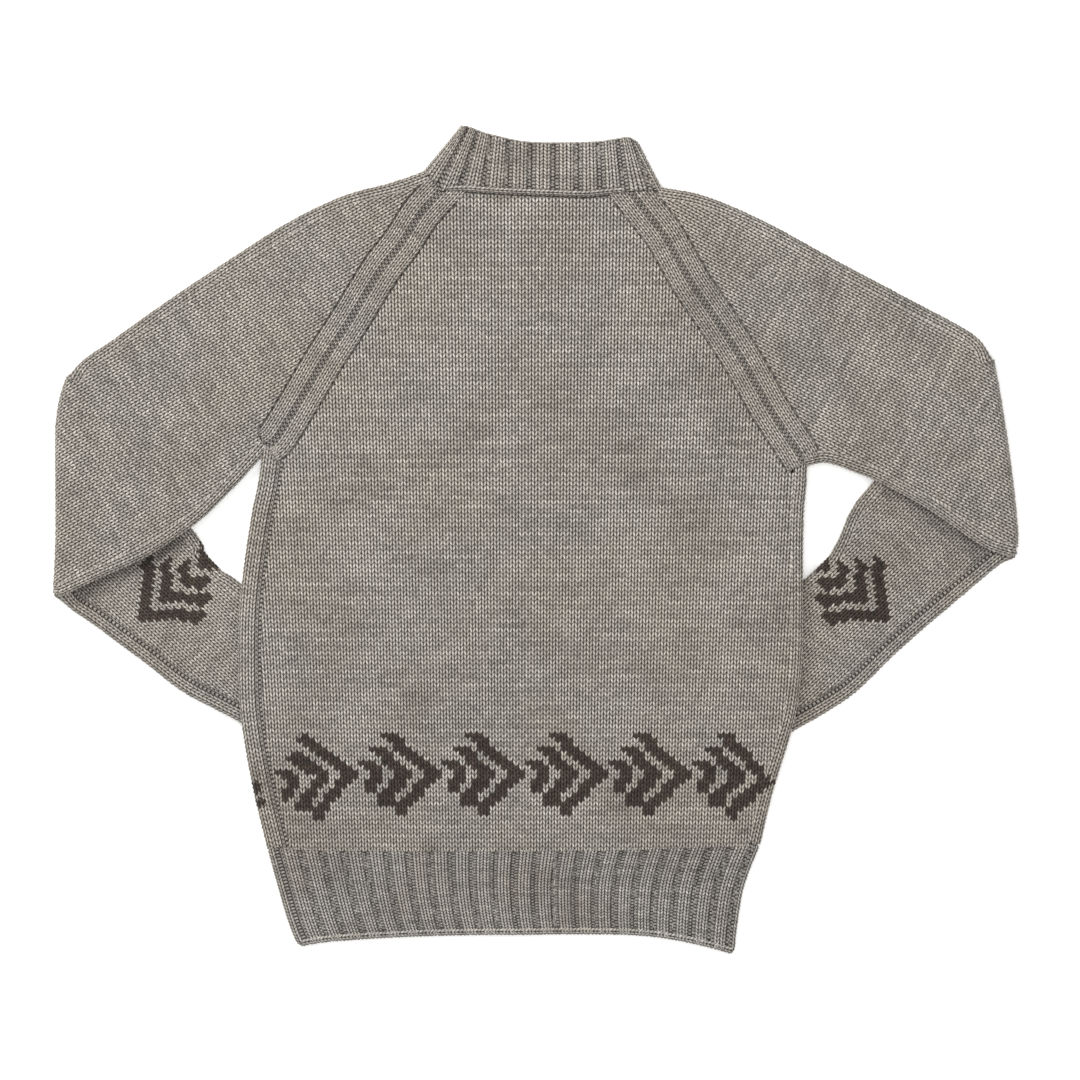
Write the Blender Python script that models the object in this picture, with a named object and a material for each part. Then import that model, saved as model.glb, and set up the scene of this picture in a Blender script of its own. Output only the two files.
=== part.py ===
"""Zip-up raglan sweater in heavy knit, laid face down with its sleeves folded under its body.

The back shows on top, with the collar at +Y. The fronts and their closed zip lie underneath.
"""

import math

import bpy
from mathutils import Matrix, Vector

MM = 0.001

# Plan middle of the laid garment, moved to the origin, in millimetres
MIDDLE = Vector((0.07, 0.18, 0.0))

# Cloth thickness and the clear spaces between its layers, in millimetres
WALL = 3.0
TUBE_GAP = 0.6
SEAM_GAP = 0.3
HALF_SEAM = SEAM_GAP / 2
HALF_GAP = TUBE_GAP / 2
EDGE = HALF_GAP + WALL
TUBE_HEIGHT = 2 * WALL + TUBE_GAP

# How high the sleeve folded underneath lifts what lies on it, and how softly, in millimetres
LIFT = TUBE_HEIGHT + 0.6
LIFT_MARGIN = 12.0
LIFT_RAMP = 85.0
CREASE_SWELL = 2.0
CREASE_SPREAD = 22.0

# Side seams: how far each lies in from its fold, on the back at the left and under the right side
LEFT_WRAP = 11.0
RIGHT_WRAP = 8.0

# Zip across the fronts, in millimetres
ZIP_TOP = Vector((1.0, 290.0))
ZIP_BOTTOM = Vector((-16.5, -354.0))
ZIP_EDGE = 5.0
ZIP_RAISE = 1.0
ZIP_RAISE_RAMP = 16.0
RIDGE = 2.5
RIDGE_HALF = 3.0
RIDGE_RAMP = 31.0
RIDGE_END = 292.0
RIDGE_FADE = 26.0
SLIDER_AT = 7.0
SLIDER_BUMP = 1.4
SLIDER_SPREAD = 24.0
CHAIN_Z = 4.55
TAPE_Z = 4.3
TAPE_THICK = 0.5

# Where the collar's back has no front under it, it drops to the surface
FLOOR_REST = 0.25
DROP_START = 6.0
DROP_RAMP = 30.0
DROP_FADE = 25.0
NECK_LINE = 315.0

# Raglan band and ribs: relief over the plain wall, in millimetres
BAND = 20.0
RAGLAN_RELIEF = (
    # distance from seam, height
    (0.0, -0.8),
    (4.5, -0.8),
    (6.0, 1.0),
    (15.5, 1.0),
    (17.0, -0.8),
    (BAND, 0.0),
)
RIB_HIGH = 0.8
RIB_LOW = -0.8
RIB_STEPS = ((0.0, RIB_LOW), (0.10, RIB_HIGH), (0.48, RIB_HIGH), (0.58, RIB_LOW))
WELT_RIBS = 22
NECK_RIBS = 8

# Outline of the body, from the welt seam up to the underarm: x, y in millimetres
LEFT_SIDE = (
    (-242, -277), (-253, -230), (-261, -187), (-266, -148), (-267, -100),
    (-266, -60), (-262, -20), (-255, 27), (-250, 52), (-247, 75),
)
RIGHT_SIDE = (
    (203, -274), (213, -230), (226, -187), (235, -154), (240, -110),
    (241, -60), (241, -10), (242, 27), (244, 48), (245, 67),
)
LEFT_WELT_SIDE = ((-214, -366), (-220, -352), (-226, -334), (-234, -306), (-242, -278))
RIGHT_WELT_SIDE = ((180, -372), (182, -350), (187, -318), (194, -296), (203, -275))
WELT_SEAM = ((-239, -278), (-122, -279), (58, -278), (200, -274))
HEM = (
    (-211, -366), (-189, -361), (-149, -358), (-77, -355),
    (58, -354), (112, -357), (153, -365), (177, -372),
)

# Raglan seams from the underarm up to the neck: x, y in millimetres
LEFT_RAGLAN = ((-233, 93), (-213, 125), (-191, 162), (-167, 199), (-140, 243), (-120, 269), (-104, 294))
RIGHT_RAGLAN = ((233, 85), (211, 119), (189, 158), (165, 196), (140, 233), (118, 272), (103, 292))
RAGLAN_TOP_BACK = (85, 315)
RAGLAN_TOP_FRONT = (91, 308)

# Collar: where it meets the back, and the edges of its fronts underneath
LEFT_NECK = (-100, 334)
RIGHT_NECK = (113, 319)
COLLAR_TOP_LEFT = (-68, 373)
COLLAR_TOP_RIGHT = (94, 356)
COLLAR_SEAM = ((-32, 315), (40, 315))
COLLAR_TOP = ((-54, 370), (-41, 367), (-5, 360), (49, 360), (81, 363))
FRONT_SEAM_LEFT = ((-41, 256), (-73, 279))
FRONT_SEAM_RIGHT = ((45, 256), (75, 279))
FRONT_TOP_LEFT = ((-29, 310), (-54, 338))
FRONT_TOP_RIGHT = ((31, 308), (72, 330))
FRONT_SEAM_MIDDLE = 249.0
FRONT_TOP_MIDDLE = 296.0

# Sleeves: edges of the upper arm and of the forearm folded under it
SLEEVES = {
    "left": {
        "shoulder": (
            (-127, 324), (-174, 311), (-222, 288), (-279, 252),
            (-333, 216), (-383, 180), (-408, 162), (-419, 149),
        ),
        "under": ((-266, 54), (-292, 27), (-311, 11), (-347, -13), (-392, -34), (-425, -50)),
        "crease": ((-427, -47), (-425, 0), (-425, 60), (-425, 100), (-422, 124), (-416, 144)),
        "forearm low": ((-430, -58), (-401, -74), (-355, -108), (-320, -135), (-287, -153), (-260, -167)),
        "forearm high": ((-405, 128), (-309, 10), (-299, -9), (-282, -27), (-266, -38), (-202, -92)),
        "cuff": ((-202, -202), (-154, -141)),
        "strip": ((-440, 150), (-445, -58), (-202, -204), (-152, -141), (-300, 9)),
    },
    "right": {
        "shoulder": ((153, 311), (207, 288), (273, 252), (341, 216), (385, 192), (402, 178), (410, 166)),
        "under": ((261, 70), (288, 61), (310, 52), (355, 27), (400, -4), (424, -15)),
        "crease": ((426, -11), (427, 10), (421, 66), (413, 120), (406, 160)),
        "forearm low": ((425, -21), (380, -54), (328, -99), (292, -134), (267, -152), (229, -174)),
        "forearm high": ((398, 148), (305, 54), (284, 27), (270, -4), (251, -27), (167, -98)),
        "cuff": ((170, -209), (122, -148)),
        "strip": ((425, 165), (445, -12), (290, -140), (170, -211), (120, -148), (300, 57)),
    },
}
SLEEVE_SEAM_IN = 9.0
SLEEVE_SEAM_SHARE = 0.08
UNDERARM_FAN = 18.0

# Second station round a sleeve, as a share of its width, at the arm's two ends and on the forearm
ARM_SECOND = 0.0625
BEND_SECOND = 0.10
FOREARM_SECOND = 0.11

# Numbers of steps in each grid
FOLD_STEPS = 4
BODY_ROWS = 18
YOKE_ROWS = 8
WELT_ROWS = (0.0, 0.07, 0.5, 1.0)
SIDE_COLUMNS = 7
ARM_ROWS = 9
BEND_STEPS = 6
FOREARM_ROWS = 6
CUFF_ROWS = 2
COLLAR_ROWS = 4

CURVE_STEPS = 12


class Path:
    """A smooth curve through plan points, read by the fraction of its length."""

    def __init__(self, points):
        points = [Vector(p) for p in points]
        ends = [2 * points[0] - points[1]] + points + [2 * points[-1] - points[-2]]
        self.dense = [points[0]]
        for a, b, c, d in zip(ends, ends[1:], ends[2:], ends[3:]):
            for step in range(1, CURVE_STEPS + 1):
                t = step / CURVE_STEPS
                bend = 2 * a - 5 * b + 4 * c - d
                twist = 3 * b - a - 3 * c + d
                self.dense.append(0.5 * (2 * b + (c - a) * t + bend * t**2 + twist * t**3))
        self.run = [0.0]
        for a, b in zip(self.dense, self.dense[1:]):
            self.run.append(self.run[-1] + (b - a).length)

    @property
    def length(self):
        return self.run[-1]

    def at(self, fraction):
        target = min(max(fraction, 0.0), 1.0) * self.length
        for i in range(1, len(self.run)):
            if self.run[i] >= target:
                break
        share = (target - self.run[i - 1]) / max(self.run[i] - self.run[i - 1], 1e-9)
        return self.dense[i - 1].lerp(self.dense[i], share)

    def right(self, fraction):
        """Unit normal on the right hand of someone walking along the curve."""
        step = 0.5 / CURVE_STEPS / len(self.dense) * 10
        way = self.at(fraction + step) - self.at(fraction - step)
        return Vector((way.y, -way.x)).normalized()

    def part(self, start, end):
        """The stretch between two fractions, as a function of its own fraction."""
        return lambda f: self.at(start + (end - start) * f)


def inset(points, distance):
    """Plan points moved to the right hand of someone walking along them."""
    points = [Vector(p) for p in points]
    moved = []
    for i, point in enumerate(points):
        way = points[min(i + 1, len(points) - 1)] - points[max(i - 1, 0)]
        moved.append(point + distance * Vector((way.y, -way.x)).normalized())
    return moved


def smooth(t):
    t = min(max(t, 0.0), 1.0)
    return t * t * (3 - 2 * t)


def coons(bottom, top, left, right):
    """Surface in plan between four edges: bottom and top run with u, left and right with v."""

    def point(u, v):
        across = (1 - v) * bottom(u) + v * top(u)
        up = (1 - u) * left(v) + u * right(v)
        low = (1 - u) * bottom(0.0) + u * bottom(1.0)
        high = (1 - u) * top(0.0) + u * top(1.0)
        return across + up - ((1 - v) * low + v * high)

    return point


def segment_distance(p, a, b):
    along = b - a
    share = min(max((p - a).dot(along) / along.length_squared, 0.0), 1.0)
    return (p - a - share * along).length


def strip_distance(p, corners):
    """How far a point lies outside a convex outline that runs anticlockwise."""
    furthest = -1e9
    for a, b in zip(corners, corners[1:] + corners[:1]):
        a, b = Vector(a), Vector(b)
        way = (b - a).normalized()
        furthest = max(furthest, Vector((way.y, -way.x)).dot(p - a))
    return furthest


def anticlockwise(corners):
    area = sum(a[0] * b[1] - b[0] * a[1] for a, b in zip(corners, corners[1:] + corners[:1]))
    return corners if area > 0 else corners[::-1]


STRIPS = [anticlockwise(sleeve["strip"]) for sleeve in SLEEVES.values()]
CREASES = [[Vector(sleeve["crease"][end]) for end in (0, -1)] for sleeve in SLEEVES.values()]


def lift(p):
    """Height of the cloth's underside over the surface, where a folded sleeve lies below it."""
    nearest = min(strip_distance(p, strip) for strip in STRIPS)
    to_crease = min(segment_distance(p, a, b) for a, b in CREASES)
    swell = CREASE_SWELL * math.exp(-((to_crease / CREASE_SPREAD) ** 2))
    return LIFT * (1 - smooth((nearest - LIFT_MARGIN) / LIFT_RAMP)) + swell


def zip_x(y):
    share = (y - ZIP_BOTTOM.y) / (ZIP_TOP.y - ZIP_BOTTOM.y)
    return ZIP_BOTTOM.x + share * (ZIP_TOP.x - ZIP_BOTTOM.x)


def ridge(p):
    """Rise of the back over the zip and its slider."""
    off = abs(p.x - zip_x(p.y))
    across = 1 - smooth((off - RIDGE_HALF) / RIDGE_RAMP)
    along = 1 - smooth((p.y - RIDGE_END) / RIDGE_FADE)
    slider = Vector((zip_x(ZIP_TOP.y - SLIDER_AT), ZIP_TOP.y - SLIDER_AT))
    bump = SLIDER_BUMP * math.exp(-((p - slider).length_squared / SLIDER_SPREAD**2))
    return RIDGE * across * along + bump


def zip_raise(p):
    return ZIP_RAISE * (1 - smooth((abs(p.x - zip_x(p.y)) - ZIP_EDGE) / ZIP_RAISE_RAMP))


def mitre(corner, first, second):
    """Middle of the fold where two edges meet in a notch, and the way to the notch, per fold radius."""
    a = (Vector(first) - Vector(corner)).normalized()
    b = (Vector(second) - Vector(corner)).normalized()
    half = a.angle(b) / 2
    out = (a + b).normalized() / math.sin(half)
    return Vector(corner) - EDGE * out, out


class Chain:
    """Straight runs between plan points, each point at its own fraction."""

    def __init__(self, fractions, points):
        self.fractions = fractions
        self.points = points

    def at(self, fraction):
        for i in range(1, len(self.fractions)):
            if self.fractions[i] >= fraction:
                break
        start, end = self.fractions[i - 1], self.fractions[i]
        return self.points[i - 1].lerp(self.points[i], (fraction - start) / (end - start))


# Corners where the folds of two pieces meet
UNDERARM = {
    "left": mitre(LEFT_SIDE[-1], LEFT_SIDE[-2], SLEEVES["left"]["under"][0]),
    "right": mitre(RIGHT_SIDE[-1], RIGHT_SIDE[-2], SLEEVES["right"]["under"][0]),
}
NECK = {
    "left": mitre(LEFT_NECK, COLLAR_TOP_LEFT, SLEEVES["left"]["shoulder"][0]),
    "right": mitre(RIGHT_NECK, COLLAR_TOP_RIGHT, SLEEVES["right"]["shoulder"][0]),
}
SIGN = {"left": -1, "right": 1}

# Shares of a raglan seam at which the rows of the body end on it
FOOT = 0.042
SEAM_SHARES = [i / YOKE_ROWS for i in range(1, YOKE_ROWS + 1)]
WRAPPED = {("left", "back"), ("right", "front")}


def raglan(side, layer, shift):
    """Raglan seam from the underarm to the neck, moved sideways by its share of the seam's gap."""
    table = LEFT_RAGLAN if side == "left" else RIGHT_RAGLAN
    top = RAGLAN_TOP_BACK if layer == "back" else RAGLAN_TOP_FRONT
    curve = Path((UNDERARM[side][0],) + table + ((SIGN[side] * top[0], top[1]),))
    shares = [0.0] + [FOOT] * ((side, layer) in WRAPPED) + SEAM_SHARES
    points = inset([curve.at(share) for share in shares], shift)
    points[-1] = points[-1] + HALF_SEAM * (points[-2] - points[-1]).normalized()
    return Chain(shares, points)


BODY_SEAMS = {
    (side, layer): raglan(side, layer, -SIGN[side] * HALF_SEAM)
    for side in SIGN
    for layer in ("back", "front")
}

# Plan edges of the collar at its two folds
FOLD_TOP = {
    "left": inset((LEFT_NECK, COLLAR_TOP_LEFT), EDGE)[1],
    "right": inset((RIGHT_NECK, COLLAR_TOP_RIGHT), -EDGE)[1],
}
TOP_BACK = Path((FOLD_TOP["left"],) + COLLAR_TOP + (FOLD_TOP["right"],))


def front_path(side, middle, points, end):
    """A collar edge on one front, from the zip to the side."""
    return Path(((zip_x(middle) + SIGN[side] * ZIP_EDGE, middle),) + points + (end,))


TOP_FRONTS = {
    "left": front_path("left", FRONT_TOP_MIDDLE, FRONT_TOP_LEFT, FOLD_TOP["left"]),
    "right": front_path("right", FRONT_TOP_MIDDLE, FRONT_TOP_RIGHT, FOLD_TOP["right"]),
}


def drop(p):
    """How far the back and the collar sink where no front lies under them."""
    path = TOP_FRONTS["left" if p.x < 0 else "right"]
    reach = path.dense[-1].x
    if abs(p.x) >= abs(reach):
        return 0.0
    edge = min(path.dense, key=lambda q: abs(q.x - p.x)).y
    across = smooth((abs(reach) - abs(p.x)) / DROP_FADE)
    along = smooth((p.y - max(edge + DROP_START, NECK_LINE)) / DROP_RAMP)
    return (WALL + TUBE_GAP - FLOOR_REST) * across * along


def raised(p, z):
    return Vector((p.x, p.y, z))


def top_pair(p, relief=0.0):
    """Inner and outer point of the wall that lies on top."""
    z = WALL + TUBE_GAP + lift(p) + ridge(p) - drop(p)
    return raised(p, z), raised(p, z + WALL + relief)


def bottom_pair(p):
    """Inner and outer point of the wall underneath."""
    z = WALL + lift(p) + zip_raise(p)
    return raised(p, z), raised(p, z - WALL)


DOWN_TURNS = [math.pi / 2 - math.pi * i / FOLD_STEPS for i in range(FOLD_STEPS + 1)]
UP_TURNS = DOWN_TURNS[::-1]


def fold_arc(centre, out, up, turns):
    """Inner and outer points of the wall round a fold, with out and up as its two directions."""
    ways = [math.cos(turn) * out + math.sin(turn) * up for turn in turns]
    return [(centre + HALF_GAP * way, centre + EDGE * way) for way in ways]


def fold_row(p, out, turns):
    return fold_arc(raised(p, WALL + HALF_GAP + lift(p)), raised(out, 0.0), Vector((0, 0, 1)), turns)


def row_out(surface, v, end, edge):
    """Which way a fold faces at the end of a row: along the row, as far as the outline lies from the fold."""
    way = (surface(end, v) - surface(abs(end - 0.01), v)).normalized()
    return way / abs(way.dot(edge.right(v)))


def cloth_wall(name, grids, material):
    """One closed wall from grids of inner and outer points, joined where the grids' points meet."""
    index = {}
    inner, outer, quads = [], [], []
    for grid in grids:
        numbered = []
        for row in grid:
            line = []
            for low, high in row:
                key = tuple(round(value, 3) for value in high)
                if key not in index:
                    index[key] = len(outer)
                    inner.append(low)
                    outer.append(high)
                line.append(index[key])
            numbered.append(line)
        for low, high in zip(numbered, numbered[1:]):
            quads += list(zip(low, low[1:], high[1:], high))
    halves = []
    for a, b, c, d in quads:
        if (inner[a] - inner[c]).length <= (inner[b] - inner[d]).length:
            halves += [(a, b, c), (a, c, d)]
        else:
            halves += [(a, b, d), (b, c, d)]
    ways = {(a, b) for half in halves for a, b in zip(half, half[1:] + half[:1])}
    count = len(outer)
    faces = halves + [(a + count, c + count, b + count) for a, b, c in halves]
    faces += [(b, a, a + count, b + count) for a, b in sorted(ways) if (b, a) not in ways]
    points = [(point - MIDDLE) * MM for point in outer + inner]
    facing = sum(
        points[face[0]].dot(points[face[i]].cross(points[face[i + 1]]))
        for face in faces
        for i in range(1, len(face) - 1)
    )
    if facing < 0:
        faces = [f[::-1] for f in faces]
    mesh = bpy.data.meshes.new(name)
    mesh.from_pydata(points, [], faces)
    mesh.materials.append(material)
    obj = bpy.data.objects.new(name, mesh)
    PART.objects.link(obj)
    return obj


def material(name, colour, roughness, metallic=0.0):
    made = bpy.data.materials.new(name)
    made.use_nodes = True
    shader = made.node_tree.nodes["Principled BSDF"]
    shader.inputs["Base Color"].default_value = (*colour, 1.0)
    shader.inputs["Roughness"].default_value = roughness
    shader.inputs["Metallic"].default_value = metallic
    return made


# Body: plan surfaces below and above the underarm
BODY_LEFT = Path(inset(LEFT_SIDE[:-1], EDGE) + [BODY_SEAMS["left", "back"].at(0.0)])
BODY_RIGHT = Path(inset(RIGHT_SIDE[:-1], -EDGE) + [BODY_SEAMS["right", "back"].at(0.0)])
WAIST = Path((BODY_LEFT.at(0.0),) + WELT_SEAM[1:-1] + (BODY_RIGHT.at(0.0),))
CHEST_WIDTH = (BODY_RIGHT.at(1.0) - BODY_LEFT.at(1.0)).length
CHEST_SPAN = {
    "back": (LEFT_WRAP / CHEST_WIDTH, 1.0),
    "front": (0.0, 1.0 - RIGHT_WRAP / CHEST_WIDTH),
}


def chest_line(layer):
    """The row at the underarm: it follows a raglan seam over the stretch that wraps round a side."""
    left, right = BODY_SEAMS["left", layer], BODY_SEAMS["right", layer]
    start, end = CHEST_SPAN[layer]
    left_foot = FOOT if start > 0.0 else 0.0
    right_foot = FOOT if end < 1.0 else 0.0

    def point(u):
        if u < start:
            return left.at(left_foot * u / start)
        if u > end:
            return right.at(right_foot * (1 - u) / (1 - end))
        return left.at(left_foot).lerp(right.at(right_foot), (u - start) / (end - start))

    return point, left_foot, right_foot


def neck_points(layer):
    """Plan points of the neck seam between the tops of the raglan seams."""
    if layer == "back":
        return COLLAR_SEAM
    middle = (zip_x(FRONT_SEAM_MIDDLE), FRONT_SEAM_MIDDLE)
    return FRONT_SEAM_LEFT[::-1] + (middle,) + FRONT_SEAM_RIGHT


def body_surface(layer):
    return coons(WAIST.at, chest_line(layer)[0], BODY_LEFT.at, BODY_RIGHT.at)


def yoke_surface(layer):
    """Plan surface above the underarm, between the raglan seams and the neck."""
    chest, left_foot, right_foot = chest_line(layer)
    left, right = BODY_SEAMS["left", layer], BODY_SEAMS["right", layer]
    start, end = CHEST_SPAN[layer]
    ends = left.at(1.0), right.at(1.0)
    middle = inset((ends[0],) + neck_points(layer) + (ends[1],), HALF_SEAM)[1:-1]
    neck = Path([ends[0]] + middle + [ends[1]])
    return coons(
        lambda u: chest(start + (end - start) * u),
        neck.at,
        lambda v: left.at(max(v, left_foot)),
        lambda v: right.at(max(v, right_foot)),
    )


ZIP_COLUMNS = (-35.0, -15.0, -ZIP_EDGE, 0.0, ZIP_EDGE, 15.0, 35.0)


def at_zip(surface, v, off):
    """The u at which a row passes the zip's line, moved off it."""
    width = (surface(1.0, v) - surface(0.0, v)).length
    u = 0.5
    for _ in range(8):
        p = surface(u, v)
        u += (zip_x(p.y) + off - p.x) / width
    return u


def row_stations(surface, v, left_columns, right_columns, zip_columns):
    """The u of each column of a row: set distances at its ends and at the zip, and even steps between."""
    width = (surface(1.0, v) - surface(0.0, v)).length
    left = [d / width for d in left_columns]
    right = [1 - d / width for d in right_columns]
    zips = [at_zip(surface, v, off) for off in zip_columns]
    stations = list(left)
    if left:
        stations += [left[-1] + (zips[0] - left[-1]) * i / SIDE_COLUMNS for i in range(1, SIDE_COLUMNS)]
    stations += zips
    if right:
        stations += [zips[-1] + (right[0] - zips[-1]) * i / SIDE_COLUMNS for i in range(1, SIDE_COLUMNS)]
    return stations + right


BAND_COLUMNS = [distance for distance, _ in RAGLAN_RELIEF]
BAND_HEIGHTS = [height for _, height in RAGLAN_RELIEF]


def body_rows():
    """Each row's height share and the ways its two folds face."""
    surface = body_surface("back")
    for i in range(BODY_ROWS + 1):
        v = max(i / BODY_ROWS, HALF_SEAM / BODY_LEFT.length)
        if i == BODY_ROWS:
            yield v, UNDERARM["left"][1], UNDERARM["right"][1]
        else:
            yield v, row_out(surface, v, 0.0, BODY_LEFT), row_out(surface, v, 1.0, BODY_RIGHT)


def back_grids():
    over, under, yoke = body_surface("back"), body_surface("front"), yoke_surface("back")
    lefts = [LEFT_WRAP + HALF_SEAM] + [LEFT_WRAP + d for d in BAND_COLUMNS[1:]]
    rights = BAND_COLUMNS[:0:-1]
    lower = []
    for v, _, out in body_rows():
        stations = row_stations(over, v, lefts, rights, ZIP_COLUMNS)
        plain = len(stations) - len(lefts) - len(rights)
        at_chest = 1.0 if v == 1.0 else 0.0
        heights = [at_chest * h for h in BAND_HEIGHTS + [0.0] * plain + BAND_HEIGHTS[:0:-1]]
        row = [top_pair(over(u, v), h) for u, h in zip(stations, heights)]
        row += fold_row(over(1.0, v), out, DOWN_TURNS)
        width = (under(1.0, v) - under(0.0, v)).length
        row += [bottom_pair(under(1 - d / width, v)) for d in (RIGHT_WRAP / 2, RIGHT_WRAP - HALF_SEAM)]
        lower.append(row)
    upper = [lower[-1][: len(stations) + 1]]
    for v in SEAM_SHARES:
        stations = row_stations(yoke, v, BAND_COLUMNS, BAND_COLUMNS[::-1], ZIP_COLUMNS)
        plain = len(stations) - 2 * len(BAND_COLUMNS)
        heights = BAND_HEIGHTS + [0.0] * plain + BAND_HEIGHTS[::-1]
        upper.append([top_pair(yoke(u, v), h) for u, h in zip(stations, heights)])
    return [lower, upper]


FRONT_LEFTS = [LEFT_WRAP / 2, LEFT_WRAP, LEFT_WRAP + BAND_COLUMNS[2], LEFT_WRAP + BAND]
FRONT_RIGHTS = [BAND, BAND_COLUMNS[3], RIGHT_WRAP + HALF_SEAM]
YOKE_RIGHTS = [BAND - RIGHT_WRAP, BAND_COLUMNS[3] - RIGHT_WRAP, 0.0]


def front_neck_row(side):
    """Plan points of a front's neck edge, from one side of it to the other."""
    yoke = yoke_surface("front")
    if side == "left":
        stations = row_stations(yoke, 1.0, [0.0] + FRONT_LEFTS, [], ZIP_COLUMNS[:3])
    else:
        stations = row_stations(yoke, 1.0, [], YOKE_RIGHTS, ZIP_COLUMNS[4:])
    return [yoke(u, 1.0) for u in stations]


def left_front_grids():
    surface, over, yoke = body_surface("front"), body_surface("back"), yoke_surface("front")
    lower = []
    for v, out, _ in body_rows():
        width = (over(1.0, v) - over(0.0, v)).length
        row = [top_pair(over(d / width, v)) for d in (LEFT_WRAP - HALF_SEAM, LEFT_WRAP / 2)]
        row += fold_row(surface(0.0, v), out, DOWN_TURNS)
        stations = row_stations(surface, v, FRONT_LEFTS, [], ZIP_COLUMNS[:3])
        row += [bottom_pair(surface(u, v)) for u in stations]
        lower.append(row)
    upper = [lower[-1][2 + FOLD_STEPS :]]
    for v in SEAM_SHARES:
        stations = row_stations(yoke, v, [0.0] + FRONT_LEFTS, [], ZIP_COLUMNS[:3])
        upper.append([bottom_pair(yoke(u, v)) for u in stations])
    return [lower, upper]


def right_front_grids():
    surface, yoke = body_surface("front"), yoke_surface("front")
    lower = []
    for v, _, _ in body_rows():
        stations = row_stations(surface, v, [], FRONT_RIGHTS, ZIP_COLUMNS[4:])
        lower.append([bottom_pair(surface(u, v)) for u in stations])
    upper = [lower[-1]]
    for v in SEAM_SHARES:
        stations = row_stations(yoke, v, [], YOKE_RIGHTS, ZIP_COLUMNS[4:])
        upper.append([bottom_pair(yoke(u, v)) for u in stations])
    return [lower, upper]


# Welts: the ribbed bands at the hem
WELT_LEFT = Path(inset(LEFT_WELT_SIDE[:-1], EDGE) + [BODY_LEFT.at(0.0)])
WELT_RIGHT = Path(inset(RIGHT_WELT_SIDE[:-1], -EDGE) + [BODY_RIGHT.at(0.0)])
HEM_LINE = Path((WELT_LEFT.at(0.0),) + HEM[1:-1] + (WELT_RIGHT.at(0.0),))
WELT = coons(HEM_LINE.at, WAIST.at, WELT_LEFT.at, WELT_RIGHT.at)


def welt_rows():
    """Each row's height share and width."""
    for share in WELT_ROWS:
        v = min(share, 1 - HALF_SEAM / WELT_LEFT.length)
        yield v, (WELT(1.0, v) - WELT(0.0, v)).length


def back_welt_grids():
    grid = []
    for v, width in welt_rows():
        start = (LEFT_WRAP + HALF_SEAM) / width
        row = []
        for rib in range(WELT_RIBS):
            for step, height in RIB_STEPS:
                u = start + (1 - start) * (rib + step) / WELT_RIBS
                row.append(top_pair(WELT(u, v), height if v > 0 else RIB_LOW / 2))
        row += fold_row(WELT(1.0, v), row_out(WELT, v, 1.0, WELT_RIGHT), DOWN_TURNS)
        row += [bottom_pair(WELT(1 - d / width, v)) for d in (RIGHT_WRAP / 2, RIGHT_WRAP - HALF_SEAM)]
        grid.append(row)
    return [grid]


def left_front_welt_grids():
    grid = []
    for v, width in welt_rows():
        row = [top_pair(WELT(d / width, v)) for d in (LEFT_WRAP - HALF_SEAM, LEFT_WRAP / 2)]
        row += fold_row(WELT(0.0, v), row_out(WELT, v, 0.0, WELT_LEFT), DOWN_TURNS)
        row += [bottom_pair(WELT(u, v)) for u in row_stations(WELT, v, [LEFT_WRAP], [], ZIP_COLUMNS[:3])]
        grid.append(row)
    return [grid]


def right_front_welt_grids():
    grid = []
    for v, _ in welt_rows():
        stations = row_stations(WELT, v, [], [RIGHT_WRAP + HALF_SEAM], ZIP_COLUMNS[4:])
        grid.append([bottom_pair(WELT(u, v)) for u in stations])
    return [grid]


# Collar: one ribbed strip folded at both sides


def collar_front(side):
    """Plan edges of the collar on one front, from the zip to the fold, in step with the neck edge below."""
    neck = front_neck_row(side)
    if side == "left":
        neck = neck[::-1]
    turn = SIGN[side]
    corner = Vector((SIGN[side] * RAGLAN_TOP_FRONT[0], RAGLAN_TOP_FRONT[1]))
    middle = inset(neck, -turn * HALF_SEAM)[:-1] + [corner, NECK[side][0]]
    low = inset(middle, -turn * HALF_SEAM)
    run = [0.0]
    for a, b in zip(low, low[1:]):
        run.append(run[-1] + (b - a).length)
    high = [TOP_FRONTS[side].at(r / run[-1]) for r in run]
    return list(zip(low, high))[:-1]


def collar_back():
    """Plan edges of the collar's back and its ribs' heights, from fold to fold."""
    tops = [Vector((SIGN[side] * RAGLAN_TOP_BACK[0], RAGLAN_TOP_BACK[1])) for side in ("left", "right")]
    middle = Path([tops[0]] + list(COLLAR_SEAM) + [tops[1]])
    ribs = NECK_RIBS + 2
    stations = []
    for rib in range(ribs):
        for step, height in RIB_STEPS:
            share = rib + step
            if share < 1:
                low = NECK["left"][0].lerp(tops[0], share)
            elif share < ribs - 1:
                low = middle.at((share - 1) / NECK_RIBS)
            else:
                low = tops[1].lerp(NECK["right"][0], share - ribs + 1)
            stations.append((low, TOP_BACK.at(share / ribs), -height))
    lows = inset([low for low, _, _ in stations] + [NECK["right"][0]], -HALF_SEAM)
    return [(low, high, height) for low, (_, high, height) in zip(lows, stations)][1:]


def collar_corner(side):
    """The collar's share of the corner where its fold meets the shoulder's."""
    neck = NECK[side][0]
    top = Vector((SIGN[side] * RAGLAN_TOP_BACK[0], RAGLAN_TOP_BACK[1]))
    return inset((neck, top), SIGN[side] * HALF_SEAM)[0]


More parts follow.
